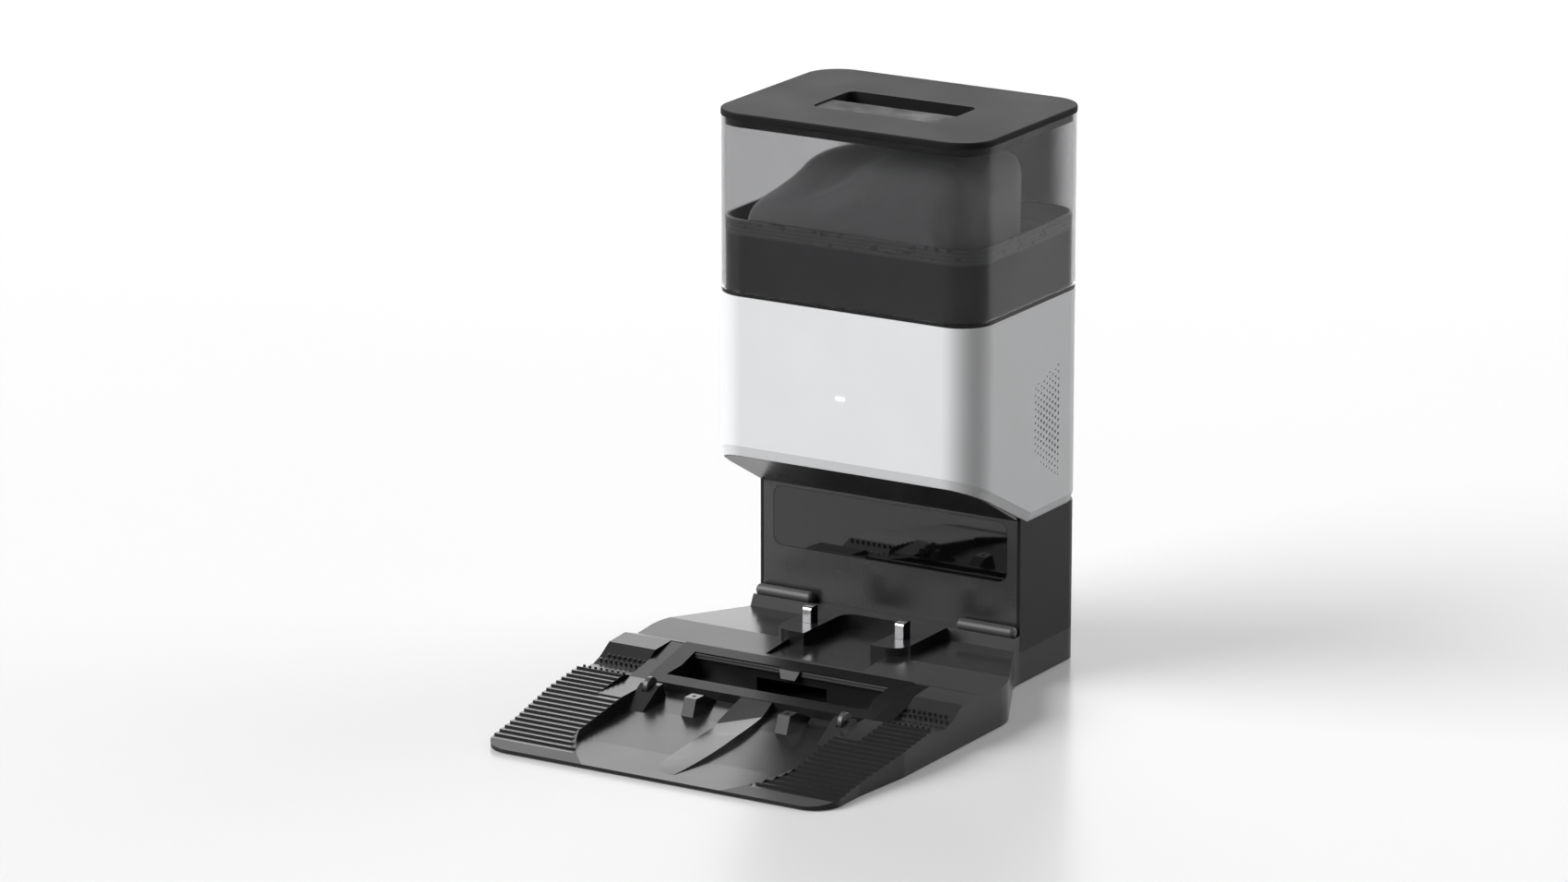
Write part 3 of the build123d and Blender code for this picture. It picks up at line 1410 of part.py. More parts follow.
# Bag bin: bucket on the shell's rim, with a grille over the filter and a port for the riser
bin_inset = tub_wall + bin_gap
flange_inset = 1.0
flange_height = 1.2
seal_step = 1.2
rail_length = 2.4
collar_half = 45.0
collar_thickness = 2.0
with BuildPart() as bag_bin:
    with BuildSketch(Plane.XY.offset(shell_top)):
        with Locations((0, head_middle)):
            RectangleRounded(*head_plan(bin_inset))
    extrude(amount=bin_rim - shell_top)
    with BuildSketch(Plane.XY.offset(shell_top)):
        with Locations((0, head_middle)):
            RectangleRounded(*head_plan(flange_inset))
    extrude(amount=flange_height)
    with BuildSketch(Plane.XY.offset(bin_floor)):
        with Locations((0, head_middle)):
            RectangleRounded(*head_plan(bin_inset + tub_wall))
    extrude(amount=bin_rim - bin_floor, mode=Mode.SUBTRACT)
    with BuildSketch(Plane.XY.offset(bin_rim)):
        with Locations((0, head_middle)):
            RectangleRounded(*head_plan(bin_inset - 1))
            RectangleRounded(*head_plan(bin_inset + seal_step), mode=Mode.SUBTRACT)
    extrude(amount=-seal_band_height, mode=Mode.SUBTRACT)
    # Cross wall with the port and two rails for the bag's collar
    with BuildSketch(Plane.XY.offset(bin_floor)):
        with Locations((0, from_front(bin_rear_wall))):
            Rectangle(head_width - 2 * bin_inset - tub_wall, tub_wall, align=(Align.CENTER, Align.MIN))
        for sign in (-1, 1):
            with Locations((sign * (collar_half + 1.5), from_front(bin_rear_wall))):
                Rectangle(2.4, rail_length, align=(Align.CENTER, Align.MAX))
    extrude(amount=bin_rim - bin_floor - 2)
    with BuildSketch(Plane.XZ.offset(-from_front(bin_rear_wall) + 1)):
        with Locations((0, (port_bottom + port_top) / 2)):
            Rectangle(2 * port_half, port_top - port_bottom)
    extrude(amount=-tub_wall - 2, mode=Mode.SUBTRACT)
    # Grille over the filter, and the opening for the riser
    with BuildSketch(Plane.XY.offset(shell_top)):
        with Locations((0, filter_middle)):
            with GridLocations(56.0, 9.0, 2, 9):
                SlotOverall(50.0, 4.0)
        with Locations((0, riser_middle)):
            Rectangle(*riser_room)
    extrude(amount=bin_floor - shell_top, mode=Mode.SUBTRACT)
bag_bin.part.label = "bag_bin"
export_step(bag_bin.part, "parts/bag_bin.step")

# Ribbed rubber band around the bin's rim
with BuildPart() as bin_seal:
    with BuildSketch(Plane.XY.offset(bin_rim)):
        with Locations((0, head_middle)):
            RectangleRounded(*head_plan(bin_inset))
    extrude(amount=-seal_band_height)
    for index in range(seal_lips):
        with BuildSketch(Plane.XY.offset(bin_rim - 0.8 - index * seal_lip_pitch)):
            with Locations((0, head_middle)):
                RectangleRounded(*head_plan(bin_inset - 0.5))
        extrude(amount=-seal_lip_height)
    with BuildSketch(Plane.XY.offset(bin_rim)):
        with Locations((0, head_middle)):
            RectangleRounded(*head_plan(bin_inset + seal_step - seat_gap))
    extrude(amount=-seal_band_height, mode=Mode.SUBTRACT)
bin_seal.part.label = "bin_seal"
export_step(bin_seal.part, "parts/bin_seal.step")

# Trim ring over the bin's flange
ring_top = bin_floor + seat_gap
with BuildPart() as trim_ring:
    with BuildSketch(Plane.XY.offset(shell_top + seat_gap)):
        with Locations((0, head_middle)):
            RectangleRounded(*head_plan(0))
            RectangleRounded(*head_plan(bin_inset - seat_gap), mode=Mode.SUBTRACT)
    extrude(amount=ring_top - shell_top - seat_gap)
    with BuildSketch(Plane.XY.offset(shell_top)):
        with Locations((0, head_middle)):
            RectangleRounded(*head_plan(flange_inset - seat_gap))
    extrude(amount=flange_height + seat_gap, mode=Mode.SUBTRACT)
trim_ring.part.label = "trim_ring"
export_step(trim_ring.part, "parts/trim_ring.step")

# Dust bag with its card collar at the port
bag_half = 82.0
bag_front = 276.0
bag_headroom = 5.0
bag_top = overall_height - recess_depth - pocket_wall - bag_headroom
collar_front = bin_rear_wall - seat_gap - collar_thickness
bag_rear = collar_front - free_gap
with BuildPart() as dust_bag:
    with BuildSketch(Plane.XY.offset(bin_floor + free_gap)):
        with Locations((0, from_front((bag_front + bag_rear) / 2))):
            RectangleRounded(2 * bag_half, bag_rear - bag_front, 28.0)
    extrude(amount=bag_top - bin_floor - free_gap)
    fillet(dust_bag.faces().sort_by(Axis.Z)[-1].edges(), radius=20.0)
    fillet(dust_bag.faces().sort_by(Axis.Z)[0].edges(), radius=4.0)
dust_bag.part.label = "dust_bag"
export_step(dust_bag.part, "parts/dust_bag.step")

with BuildPart() as bag_collar:
    with BuildSketch(Plane.XZ.offset(-from_front(collar_front))):
        with Locations((0, bin_floor + seat_gap)):
            Rectangle(2 * collar_half, 58.0, align=(Align.CENTER, Align.MIN))
        with Locations((0, (port_bottom + port_top) / 2)):
            RectangleRounded(2 * port_half - 8, port_top - port_bottom - 4, 6.0, mode=Mode.SUBTRACT)
    extrude(amount=-collar_thickness)
bag_collar.part.label = "bag_collar"
export_step(bag_collar.part, "parts/bag_collar.step")

# Lid: see-through tub wall, top plate with the finger recess, and the grip across it
with BuildPart() as lid_tub:
    with BuildSketch(Plane.XY.offset(lid_bottom)):
        with Locations((0, head_middle)):
            RectangleRounded(*head_plan(0))
            RectangleRounded(*head_plan(tub_wall), mode=Mode.SUBTRACT)
    extrude(amount=slab_bottom - lid_bottom)
lid_tub.part.label = "lid_tub"
export_step(lid_tub.part, "parts/lid_tub.step")

skirt_inset = tub_wall + 0.15
skirt_wall = 2.2
recess_middle = from_front((recess_front + recess_rear) / 2)
recess_length = recess_rear - recess_front
grip_top = overall_height - grip_drop
grip_bottom = grip_top - grip_thickness
rest = 6.6
with BuildPart() as lid_plate:
    with BuildSketch(Plane.XY.offset(slab_bottom)):
        with Locations((0, head_middle)):
            RectangleRounded(*head_plan(-lid_overhang))
    extrude(amount=slab_thickness)
    fillet(lid_plate.faces().sort_by(Axis.Z)[-1].edges(), radius=1.2)
    fillet(lid_plate.faces().sort_by(Axis.Z)[0].edges(), radius=0.6)
    with BuildSketch(Plane.XY.offset(slab_bottom)):
        with Locations((0, head_middle)):
            RectangleRounded(*head_plan(skirt_inset))
            RectangleRounded(*head_plan(skirt_inset + skirt_wall), mode=Mode.SUBTRACT)
    extrude(amount=-skirt_height)
    with BuildSketch(Plane.XY.offset(slab_bottom)):
        with Locations((0, recess_middle)):
            outer = (2 * (recess_half_width + pocket_wall), recess_length + 2 * pocket_wall)
            RectangleRounded(*outer, recess_radius + pocket_wall)
    extrude(amount=slab_thickness - recess_depth - pocket_wall)
    with BuildSketch(Plane.XY.offset(overall_height - recess_depth)):
        with Locations((0, recess_middle)):
            RectangleRounded(2 * recess_half_width, recess_length, recess_radius)
    extrude(amount=recess_depth, mode=Mode.SUBTRACT)
    # Rests for the grip along the recess's front and sides
    with BuildSketch(Plane.XY.offset(grip_bottom)) as rests:
        with Locations((0, from_front(recess_front) - seat_gap)):
            Rectangle(2 * recess_half_width, rest, align=(Align.CENTER, Align.MIN))
        for sign in (-1, 1):
            with Locations((sign * (recess_half_width - rest / 2 + seat_gap), from_front(recess_front))):
                Rectangle(rest, grip_rear - recess_front, align=(Align.CENTER, Align.MIN))
    extrude(amount=-5.0)
lid_plate.part.label = "lid_plate"
export_step(lid_plate.part, "parts/lid_plate.step")

with BuildPart() as lid_grip:
    with BuildSketch(Plane.XY.offset(grip_bottom)) as grip_plan:
        with Locations((0, from_front(recess_front) + 2 * seat_gap)):
            grip_size = (2 * recess_half_width - 4 * seat_gap, grip_rear - recess_front)
            Rectangle(*grip_size, align=(Align.CENTER, Align.MIN))
        fillet(grip_plan.vertices().group_by(Axis.Y)[0], radius=recess_radius - 2 * seat_gap)
    extrude(amount=grip_thickness)
    fillet(lid_grip.faces().sort_by(Axis.Z)[-1].edges().sort_by(Axis.Y)[-1], radius=1.0)
lid_grip.part.label = "lid_grip"
export_step(lid_grip.part, "parts/lid_grip.step")
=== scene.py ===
"""Looks of a robot vacuum charging dock: ribbed ramp, slim column, white head and smoky lid."""

import json
import logging
import math
from dataclasses import dataclass
from enum import Enum
from typing import Protocol

import bmesh
import bpy
from mathutils import Matrix, Vector

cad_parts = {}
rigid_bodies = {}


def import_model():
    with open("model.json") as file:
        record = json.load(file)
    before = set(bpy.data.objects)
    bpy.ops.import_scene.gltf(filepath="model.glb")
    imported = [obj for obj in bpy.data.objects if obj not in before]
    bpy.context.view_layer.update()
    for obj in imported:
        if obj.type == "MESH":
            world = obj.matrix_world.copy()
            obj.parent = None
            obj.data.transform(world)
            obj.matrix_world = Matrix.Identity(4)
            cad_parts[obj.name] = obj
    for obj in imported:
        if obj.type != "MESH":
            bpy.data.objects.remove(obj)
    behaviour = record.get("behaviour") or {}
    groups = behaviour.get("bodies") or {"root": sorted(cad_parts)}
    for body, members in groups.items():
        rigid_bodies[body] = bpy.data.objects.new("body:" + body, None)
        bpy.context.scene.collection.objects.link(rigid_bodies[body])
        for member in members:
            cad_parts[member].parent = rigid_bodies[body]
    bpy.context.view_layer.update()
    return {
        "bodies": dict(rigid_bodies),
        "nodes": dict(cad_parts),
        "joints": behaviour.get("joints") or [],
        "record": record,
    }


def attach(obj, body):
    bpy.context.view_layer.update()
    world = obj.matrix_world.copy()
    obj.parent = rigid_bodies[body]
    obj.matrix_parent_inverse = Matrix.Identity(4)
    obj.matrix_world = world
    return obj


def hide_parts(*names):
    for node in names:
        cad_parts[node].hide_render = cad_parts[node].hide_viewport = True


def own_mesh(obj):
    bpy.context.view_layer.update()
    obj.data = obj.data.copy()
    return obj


LOG = logging.getLogger("dock")
MM = 0.001

# The sRGB curve
BYTE = 255
SRGB_KNEE = 0.04045
SRGB_SLOPE = 12.92
SRGB_OFFSET = 0.055
SRGB_POWER = 2.4

# Most of a noise's values lie between these two
NOISE_LOW = 0.3
NOISE_HIGH = 0.7
NOISE_ROUGHNESS = 0.55

PLASTIC_IOR = 1.5
WHITE = "ffffff"

Colour = tuple[float, float, float, float]
Socket = bpy.types.NodeSocket


class Bodies(Enum):
    """The moving group that carries what this script makes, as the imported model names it."""

    DOCK = "dock"


class Lay(Enum):
    """How the grain of a finish runs."""

    EVEN = (1.0, 1.0, 1.0)
    UPRIGHT = (1.0, 1.0, 0.04)
    ACROSS = (0.04, 1.0, 1.0)


class Finish(Protocol):
    """A finish that a piece can be dressed in."""

    def material(self) -> bpy.types.Material:
        """Builds the finish's material."""


def linear(code: str) -> Colour:
    """Turns an sRGB hex colour to linear.

    Args:
        code: Six hex digits.

    Returns:
        Linear red, green and blue, and an alpha of 1.
    """
    parts = [int(code[place : place + 2], 16) / BYTE for place in (0, 2, 4)]
    red, green, blue = (
        part / SRGB_SLOPE
        if part <= SRGB_KNEE
        else ((part + SRGB_OFFSET) / (1 + SRGB_OFFSET)) ** SRGB_POWER
        for part in parts
    )
    return red, green, blue, 1.0


def toned(colour: Colour, factor: float, lift: float = 0.0) -> Colour:
    """Makes a linear colour lighter or darker.

    Args:
        colour: The colour.
        factor: What its parts are multiplied by.
        lift: What is added to them.

    Returns:
        The new colour.
    """
    red, green, blue = (min(1.0, part * factor + lift) for part in colour[:3])
    return red, green, blue, 1.0


def add_node(
    tree: bpy.types.NodeTree, kind: str, settings: dict | None = None, links: dict | None = None
) -> bpy.types.Node:
    """Adds a node with its settings and links.

    Args:
        tree: The node tree that gets it.
        kind: Blender's name of the node.
        settings: Attributes, or inputs by name or number, and their values.
        links: Inputs by name or number, and the output sockets that feed them.

    Returns:
        The new node.
    """
    node = tree.nodes.new(kind)
    for key, value in (settings or {}).items():
        if isinstance(key, str) and hasattr(node, key):
            setattr(node, key, value)
        else:
            node.inputs[key].default_value = value
    for key, source in (links or {}).items():
        tree.links.new(source, node.inputs[key])
    return node


class Look:
    """A material in the making: its node tree, its shader and the object's coordinates."""

    def __init__(self, name: str) -> None:
        """Starts a node material.

        Args:
            name: The material's name.
        """
        self.material = bpy.data.materials.new(name)
        self.material.use_nodes = True
        self.tree = self.material.node_tree
        self.shader = self.tree.nodes["Principled BSDF"]
        self.place = add_node(self.tree, "ShaderNodeTexCoord").outputs["Object"]

    def speckle(self, size_mm: float, lay: Lay = Lay.EVEN, detail: float = 3.0) -> Socket:
        """Makes a noise whose spots are about a given size.

        Args:
            size_mm: The spots' size.
            lay: The direction that stretches the spots.
            detail: Octaves of finer noise.

        Returns:
            The noise value's socket.
        """
        turned = add_node(
            self.tree, "ShaderNodeMapping", {"Scale": lay.value}, {"Vector": self.place}
        )
        noise = add_node(
            self.tree,
            "ShaderNodeTexNoise",
            {"Scale": 1 / (size_mm * MM), "Detail": detail, "Roughness": NOISE_ROUGHNESS},
            {"Vector": turned.outputs["Vector"]},
        )
        return noise.outputs["Fac"]

    def surface(
        self,
        share: Socket,
        tones: tuple[Colour, Colour],
        contrast: bool = False,
        rough: tuple[Socket, float, float] | None = None,
        relief: tuple[Socket, float, float] | None = None,
        settings: dict | None = None,
    ) -> Socket:
        """Gives the shader two mixed tones, and a roughness and relief that follow patterns.

        Args:
            share: The value that picks between the tones.
            tones: The linear colours at 0 and at 1.
            contrast: Whether the value is a noise, to be stretched until it reaches both tones.
            rough: A noise, and the roughness at its low and at its high values.
            relief: A height, the bump's strength and its depth in millimetres.
            settings: The shader's other inputs by name, and their values.

        Returns:
            The mixed colour's socket.
        """
        stretch = {"From Min": NOISE_LOW, "From Max": NOISE_HIGH}
        if contrast:
            wider = add_node(self.tree, "ShaderNodeMapRange", stretch, {"Value": share})
            share = wider.outputs["Result"]
        mixed = add_node(
            self.tree,
            "ShaderNodeMix",
            {"data_type": "RGBA", 6: tones[0], 7: tones[1]},
            {0: share},
        )
        fed = {"Base Color": mixed.outputs[2]}
        if rough:
            noise, low, high = rough
            ends = {**stretch, "To Min": low, "To Max": high}
            gloss = add_node(self.tree, "ShaderNodeMapRange", ends, {"Value": noise})
            fed["Roughness"] = gloss.outputs["Result"]
        if relief:
            height, strength, depth_mm = relief
            force = {"Strength": strength, "Distance": depth_mm * MM}
            bump = add_node(self.tree, "ShaderNodeBump", force, {"Height": height})
            fed["Normal"] = bump.outputs["Normal"]
        for name, source in fed.items():
            self.tree.links.new(source, self.shader.inputs[name])
        for name, value in (settings or {}).items():
            self.shader.inputs[name].default_value = value
        return mixed.outputs[2]


@dataclass(frozen=True)
class MouldedPlastic:
    """Injection-moulded ABS or PP with a spark-eroded skin.

    The mould leaves a fine even grain that spreads each reflection, and handling polishes it a
    little in patches. The real grain is about 0.1 mm wide. It is drawn coarser, so that it shows.
    """

    name: str
    colour: str
    second: str
    roughness: float = 0.4
    grain_mm: float = 0.6
    grain_depth: float = 0.02
    grain_strength: float = 0.35
    patch_mm: float = 60.0
    patch: float = 0.03
    specular: float = 0.5

    def material(self) -> bpy.types.Material:
        """Builds the material.

        Returns:
            The material.
        """
        look = Look(self.name)
        patches = look.speckle(self.patch_mm, detail=2.0)
        grain = look.speckle(self.grain_mm)
        look.surface(
            patches,
            (linear(self.colour), linear(self.second)),
            contrast=True,
            rough=(patches, self.roughness - self.patch, self.roughness + self.patch),
            relief=(grain, self.grain_strength, self.grain_depth),
            settings={"Specular IOR Level": self.specular, "IOR": PLASTIC_IOR},
        )
        return look.material


@dataclass(frozen=True)
class LitPlastic(MouldedPlastic):
    """The white head's ABS, with a painted glow round the lens that stands in for the status light
    shining through it.
    """

    light_at: tuple[float, float, float] = (0.0, 0.0, 0.0)
    halo_mm: float = 5.0
    halo_stretch: float = 1.5
    halo: float = 0.22

    def material(self) -> bpy.types.Material:
        """Builds the material, with the painted glow that fades away from the lens.

        Returns:
            The material.
        """
        material = super().material()
        tree = material.node_tree
        shader = tree.nodes["Principled BSDF"]
        place = add_node(tree, "ShaderNodeTexCoord")
        radius = self.halo_mm * MM
        reach = (self.halo_stretch * radius, radius, radius)
        moved = add_node(
            tree,
            "ShaderNodeMapping",
            {"vector_type": "TEXTURE", "Location": self.light_at, "Scale": reach},
            {"Vector": place.outputs["Object"]},
        )
        ball = add_node(
            tree,
            "ShaderNodeTexGradient",
            {"gradient_type": "QUADRATIC_SPHERE"},
            {"Vector": moved.outputs["Vector"]},
        )
        glow = add_node(
            tree,
            "ShaderNodeMath",
            {"operation": "MULTIPLY", 1: self.halo},
            {0: ball.outputs["Fac"]},
        )
        # Painted glow: the shell emits white light round the lens, standing in for the status
        # light shining through the plastic
        shader.inputs["Emission Color"].default_value = linear(WHITE)
        tree.links.new(glow.outputs["Value"], shader.inputs["Emission Strength"])
        return material


@dataclass(frozen=True)
class PolishedPlastic:
    """Polished ABS or acrylic from a mirror-finish mould: a deep gloss with slight waviness."""

    name: str
    colour: str
    roughness: float = 0.04
    wave_mm: float = 24.0
    wave_depth: float = 0.004
    wave_strength: float = 0.3
    smudge_mm: float = 40.8
    glow: float = 0.0
    coat: float = 0.0
    coat_roughness: float = 0.03
    specular: float = 0.5

    def material(self) -> bpy.types.Material:
        """Builds the material.

        Returns:
            The material.
        """
        look = Look(self.name)
        wave = look.speckle(self.wave_mm, detail=1.0)
        smudge = look.speckle(self.smudge_mm, detail=4.0)
        base = linear(self.colour)
        settings = {
            "IOR": PLASTIC_IOR,
            "Specular IOR Level": self.specular,
            "Coat Weight": self.coat,
            "Coat Roughness": self.coat_roughness,
        }
        if self.glow:
            settings.update({"Emission Color": linear(WHITE), "Emission Strength": self.glow})
        look.surface(
            smudge,
            (base, toned(base, 1.15, 0.002)),
            rough=(smudge, self.roughness * 0.7, self.roughness * 1.4),
            relief=(wave, self.wave_strength, self.wave_depth),
            settings=settings,
        )
        return look.material


@dataclass(frozen=True)
class SmokedPolycarbonate:
    """Smoke-tinted polycarbonate, slightly frosted inside, so that what lies behind is softened.

    The rear wall is black inside, up to its rounded corners: painted shade that darkens the tub
    where the rear wall shows through.
    """

    name: str
    tint: str
    # The painted shade's colour and where it sits: behind the rear line, fading out towards the
    # sides
    shade_colour: str = "050505"
    roughness: float = 0.17
    roughness_range: float = 0.02
    ior: float = 1.2
    flow_mm: float = 90.0
    frost_mm: float = 0.7
    frost_depth: float = 0.01
    frost_strength: float = 0.15
    rear: float = 209.0
    shade_half: float = 104.0
    shade_edge: float = 26.0

    def material(self) -> bpy.types.Material:
        """Builds the material.

        Returns:
            The material.
        """
        look = Look(self.name)
        flow = look.speckle(self.flow_mm, Lay.UPRIGHT, detail=2.0)
        frost = look.speckle(self.frost_mm)
        base = linear(self.tint)
        low, high = self.roughness - self.roughness_range, self.roughness + self.roughness_range
        smoke = look.surface(
            flow,
            (base, toned(base, 0.94)),
            contrast=True,
            rough=(flow, low, high),
            relief=(frost, self.frost_strength, self.frost_depth),
            settings={"Transmission Weight": 1.0, "IOR": self.ior},
        )
        # Painted shade: the rear wall turns black inside, so the tub looks darker there
        shaded = add_node(
            look.tree,
            "ShaderNodeMix",
            {"data_type": "RGBA", 7: linear(self.shade_colour)},
            {0: self.painted_shade(look), 6: smoke},
        )
        look.tree.links.new(shaded.outputs[2], look.shader.inputs["Base Color"])
        return look.material

    def painted_shade(self, look: Look) -> Socket:
        """Finds the part of the rear wall that gets the painted shade.

        Args:
            look: The material in the making.

        Returns:
            A socket that is 1 on the painted shade and fades at its sides.
        """
        tree = look.tree
        axes = add_node(tree, "ShaderNodeSeparateXYZ", {}, {"Vector": look.place})
        behind = add_node(
            tree,
            "ShaderNodeMath",
            {"operation": "GREATER_THAN", 1: self.rear * MM},
            {0: axes.outputs["Y"]},
        )
        aside = add_node(tree, "ShaderNodeMath", {"operation": "ABSOLUTE"}, {0: axes.outputs["X"]})
        across = add_node(
            tree,
            "ShaderNodeMapRange",
            {
                "interpolation_type": "SMOOTHSTEP",
                "From Min": (self.shade_half - self.shade_edge) * MM,
                "From Max": self.shade_half * MM,
                "To Min": 1.0,
                "To Max": 0.0,
            },
            {"Value": aside.outputs["Value"]},
        )
        both = add_node(
            tree,
            "ShaderNodeMath",
            {"operation": "MULTIPLY"},
            {0: behind.outputs["Value"], 1: across.outputs["Result"]},
        )
        return both.outputs["Value"]


@dataclass(frozen=True)
class Rubber:
    """Moulded rubber or silicone: dense, with a dusty bloom that lifts it at grazing angles.

    The grain is drawn coarser than the real one, so that it shows.
    """

    name: str
    colour: str
    roughness: float = 0.75
    roughness_range: float = 0.05
    dust: float = 0.25
    dust_lift: float = 0.016
    bloom_mm: float = 7.0
    grain_mm: float = 0.8
    grain_depth: float = 0.03
    grain_strength: float = 0.4
    sheen: float = 0.15

    def material(self) -> bpy.types.Material:
        """Builds the material.

        Returns:
            The material.
        """
        look = Look(self.name)
        bloom = look.speckle(self.bloom_mm)
        grain = look.speckle(self.grain_mm)
        base = linear(self.colour)
        low, high = self.roughness - self.roughness_range, self.roughness + self.roughness_range
        look.surface(
            bloom,
            (base, toned(base, 1 + self.dust, self.dust_lift * self.dust)),
            rough=(bloom, low, high),
            relief=(grain, self.grain_strength, self.grain_depth),
            settings={"Sheen Weight": self.sheen, "Sheen Roughness": 0.5},
        )
        return look.material


@dataclass(frozen=True)
class Metal:
    """Stamped, turned or cast metal with the fine lines or cloud of how it was worked."""

    name: str
    colour: str
    roughness: float = 0.3
    line_mm: float = 0.5
    lay: Lay = Lay.EVEN
    depth: float = 0.01
    strength: float = 0.3

    def material(self) -> bpy.types.Material:
        """Builds the material.

        Returns:
            The material.
        """
        look = Look(self.name)
        lines = look.speckle(self.line_mm, self.lay)
        base = linear(self.colour)
        look.surface(
            lines,
            (base, toned(base, 0.82)),
            rough=(lines, self.roughness * 0.8, self.roughness * 1.25),
            relief=(lines, self.strength, self.depth),
            settings={"Metallic": 1.0},
        )
        return look.material


@dataclass(frozen=True)
class CircuitBoard:
    """Glass-fibre board under solder mask: fine copper tracks show through as paler lines.

    The tracks are 0.4 mm wide, round fields of 2.5 mm.
    """

    name: str
    mask: str
    track: str
    field_mm: float = 2.5
    track_half_mm: float = 0.2

    def material(self) -> bpy.types.Material:
        """Builds the material.

        Returns:
            The material.
        """
        look = Look(self.name)
        fields = add_node(
            look.tree,
            "ShaderNodeTexVoronoi",
            {"feature": "DISTANCE_TO_EDGE", "Scale": 1 / (self.field_mm * MM)},
            {"Vector": look.place},
        )
        edge = add_node(
            look.tree,
            "ShaderNodeMath",
            {"operation": "LESS_THAN", 1: self.track_half_mm / self.field_mm},
            {0: fields.outputs["Distance"]},
        )
        look.surface(
            edge.outputs["Value"],
            (linear(self.mask), linear(self.track)),
            rough=(look.speckle(4.0), 0.25, 0.4),
        )
        return look.material


@dataclass(frozen=True)
class FibreSheet:
    """Felted fibres: bag fleece, card or filter paper, with a soft, slightly hairy surface.

    Real fibres are about 0.03 mm thick. They are drawn as coarse strands, so that they show.
    """

    name: str
    colour: str
    second: str
    fibre_mm: float = 1.2
    depth: float = 0.12
    strength: float = 0.6
    sheen: float = 0.3
    roughness: float = 0.9

    def material(self) -> bpy.types.Material:
        """Builds the material.

        Returns:
            The material.
        """
        look = Look(self.name)
        along = look.speckle(self.fibre_mm, Lay.ACROSS)
        up = look.speckle(self.fibre_mm, Lay.UPRIGHT)
        felt = add_node(
            look.tree, "ShaderNodeMath", {"operation": "MAXIMUM"}, {0: along, 1: up}
        ).outputs["Value"]
        look.surface(
            felt,
            (linear(self.colour), linear(self.second)),
            contrast=True,
            relief=(felt, self.strength, self.depth),
            settings={
                "Roughness": self.roughness,
                "Sheen Weight": self.sheen,
                "Sheen Roughness": 0.6,
            },
        )
        return look.material


@dataclass(frozen=True)
class OpenFoam:
    """Reticulated polyurethane foam: open cells about 1.2 mm wide with thin struts between."""

    name: str
    colour: str
    second: str
    cell_mm: float = 1.2
    depth: float = 0.4
    strength: float = 0.8
    roughness: float = 0.95

    def material(self) -> bpy.types.Material:
        """Builds the material.

        Returns:
            The material.
        """
        look = Look(self.name)
        cells = add_node(
            look.tree,
            "ShaderNodeTexVoronoi",
            {"Scale": 1 / (self.cell_mm * MM)},
            {"Vector": look.place},
        ).outputs["Distance"]
        share = add_node(look.tree, "ShaderNodeMapRange", {"From Max": 0.7}, {"Value": cells})
        look.surface(
            share.outputs["Result"],
            (linear(self.colour), linear(self.second)),
            relief=(cells, self.strength, self.depth),
            settings={"Roughness": self.roughness},
        )
        return look.material


def dress(frame: dict, finish: Finish, names: tuple[str, ...]) -> None:
    """Gives CAD nodes a finish.

    Args:
        frame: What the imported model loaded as.
        finish: Their finish.
        names: The nodes' names.
    """
    material = finish.material()
    for name in names:
        for slot in frame["nodes"][name].material_slots:
            slot.material = material
        LOG.info("dressed %s in %s", name, material.name)


def add_piece(form: bmesh.types.BMesh, name: str) -> bpy.types.Object:
    """Adds a finished form to the scene.

    Args:
        form: The form, which is freed.
        name: The object's name.

    Returns:
        The object.
    """
    mesh = bpy.data.meshes.new(name)
    form.to_mesh(mesh)
    form.free()
    piece = bpy.data.objects.new(name, mesh)
    bpy.context.scene.collection.objects.link(piece)
    return piece


def smooth_faces(piece: bpy.types.Object) -> None:
    """Shades a piece smoothly."""
    for face in piece.data.polygons:
        face.use_smooth = True


def apply_modifier(piece: bpy.types.Object, modifier: bpy.types.Modifier) -> None:
    """Applies a modifier to its piece.

    Args:
        piece: The piece.
        modifier: The modifier on it.
    """
    bpy.context.view_layer.objects.active = piece
    with bpy.context.temp_override(object=piece, active_object=piece, selected_objects=[piece]):
        bpy.ops.object.modifier_apply(modifier=modifier.name)


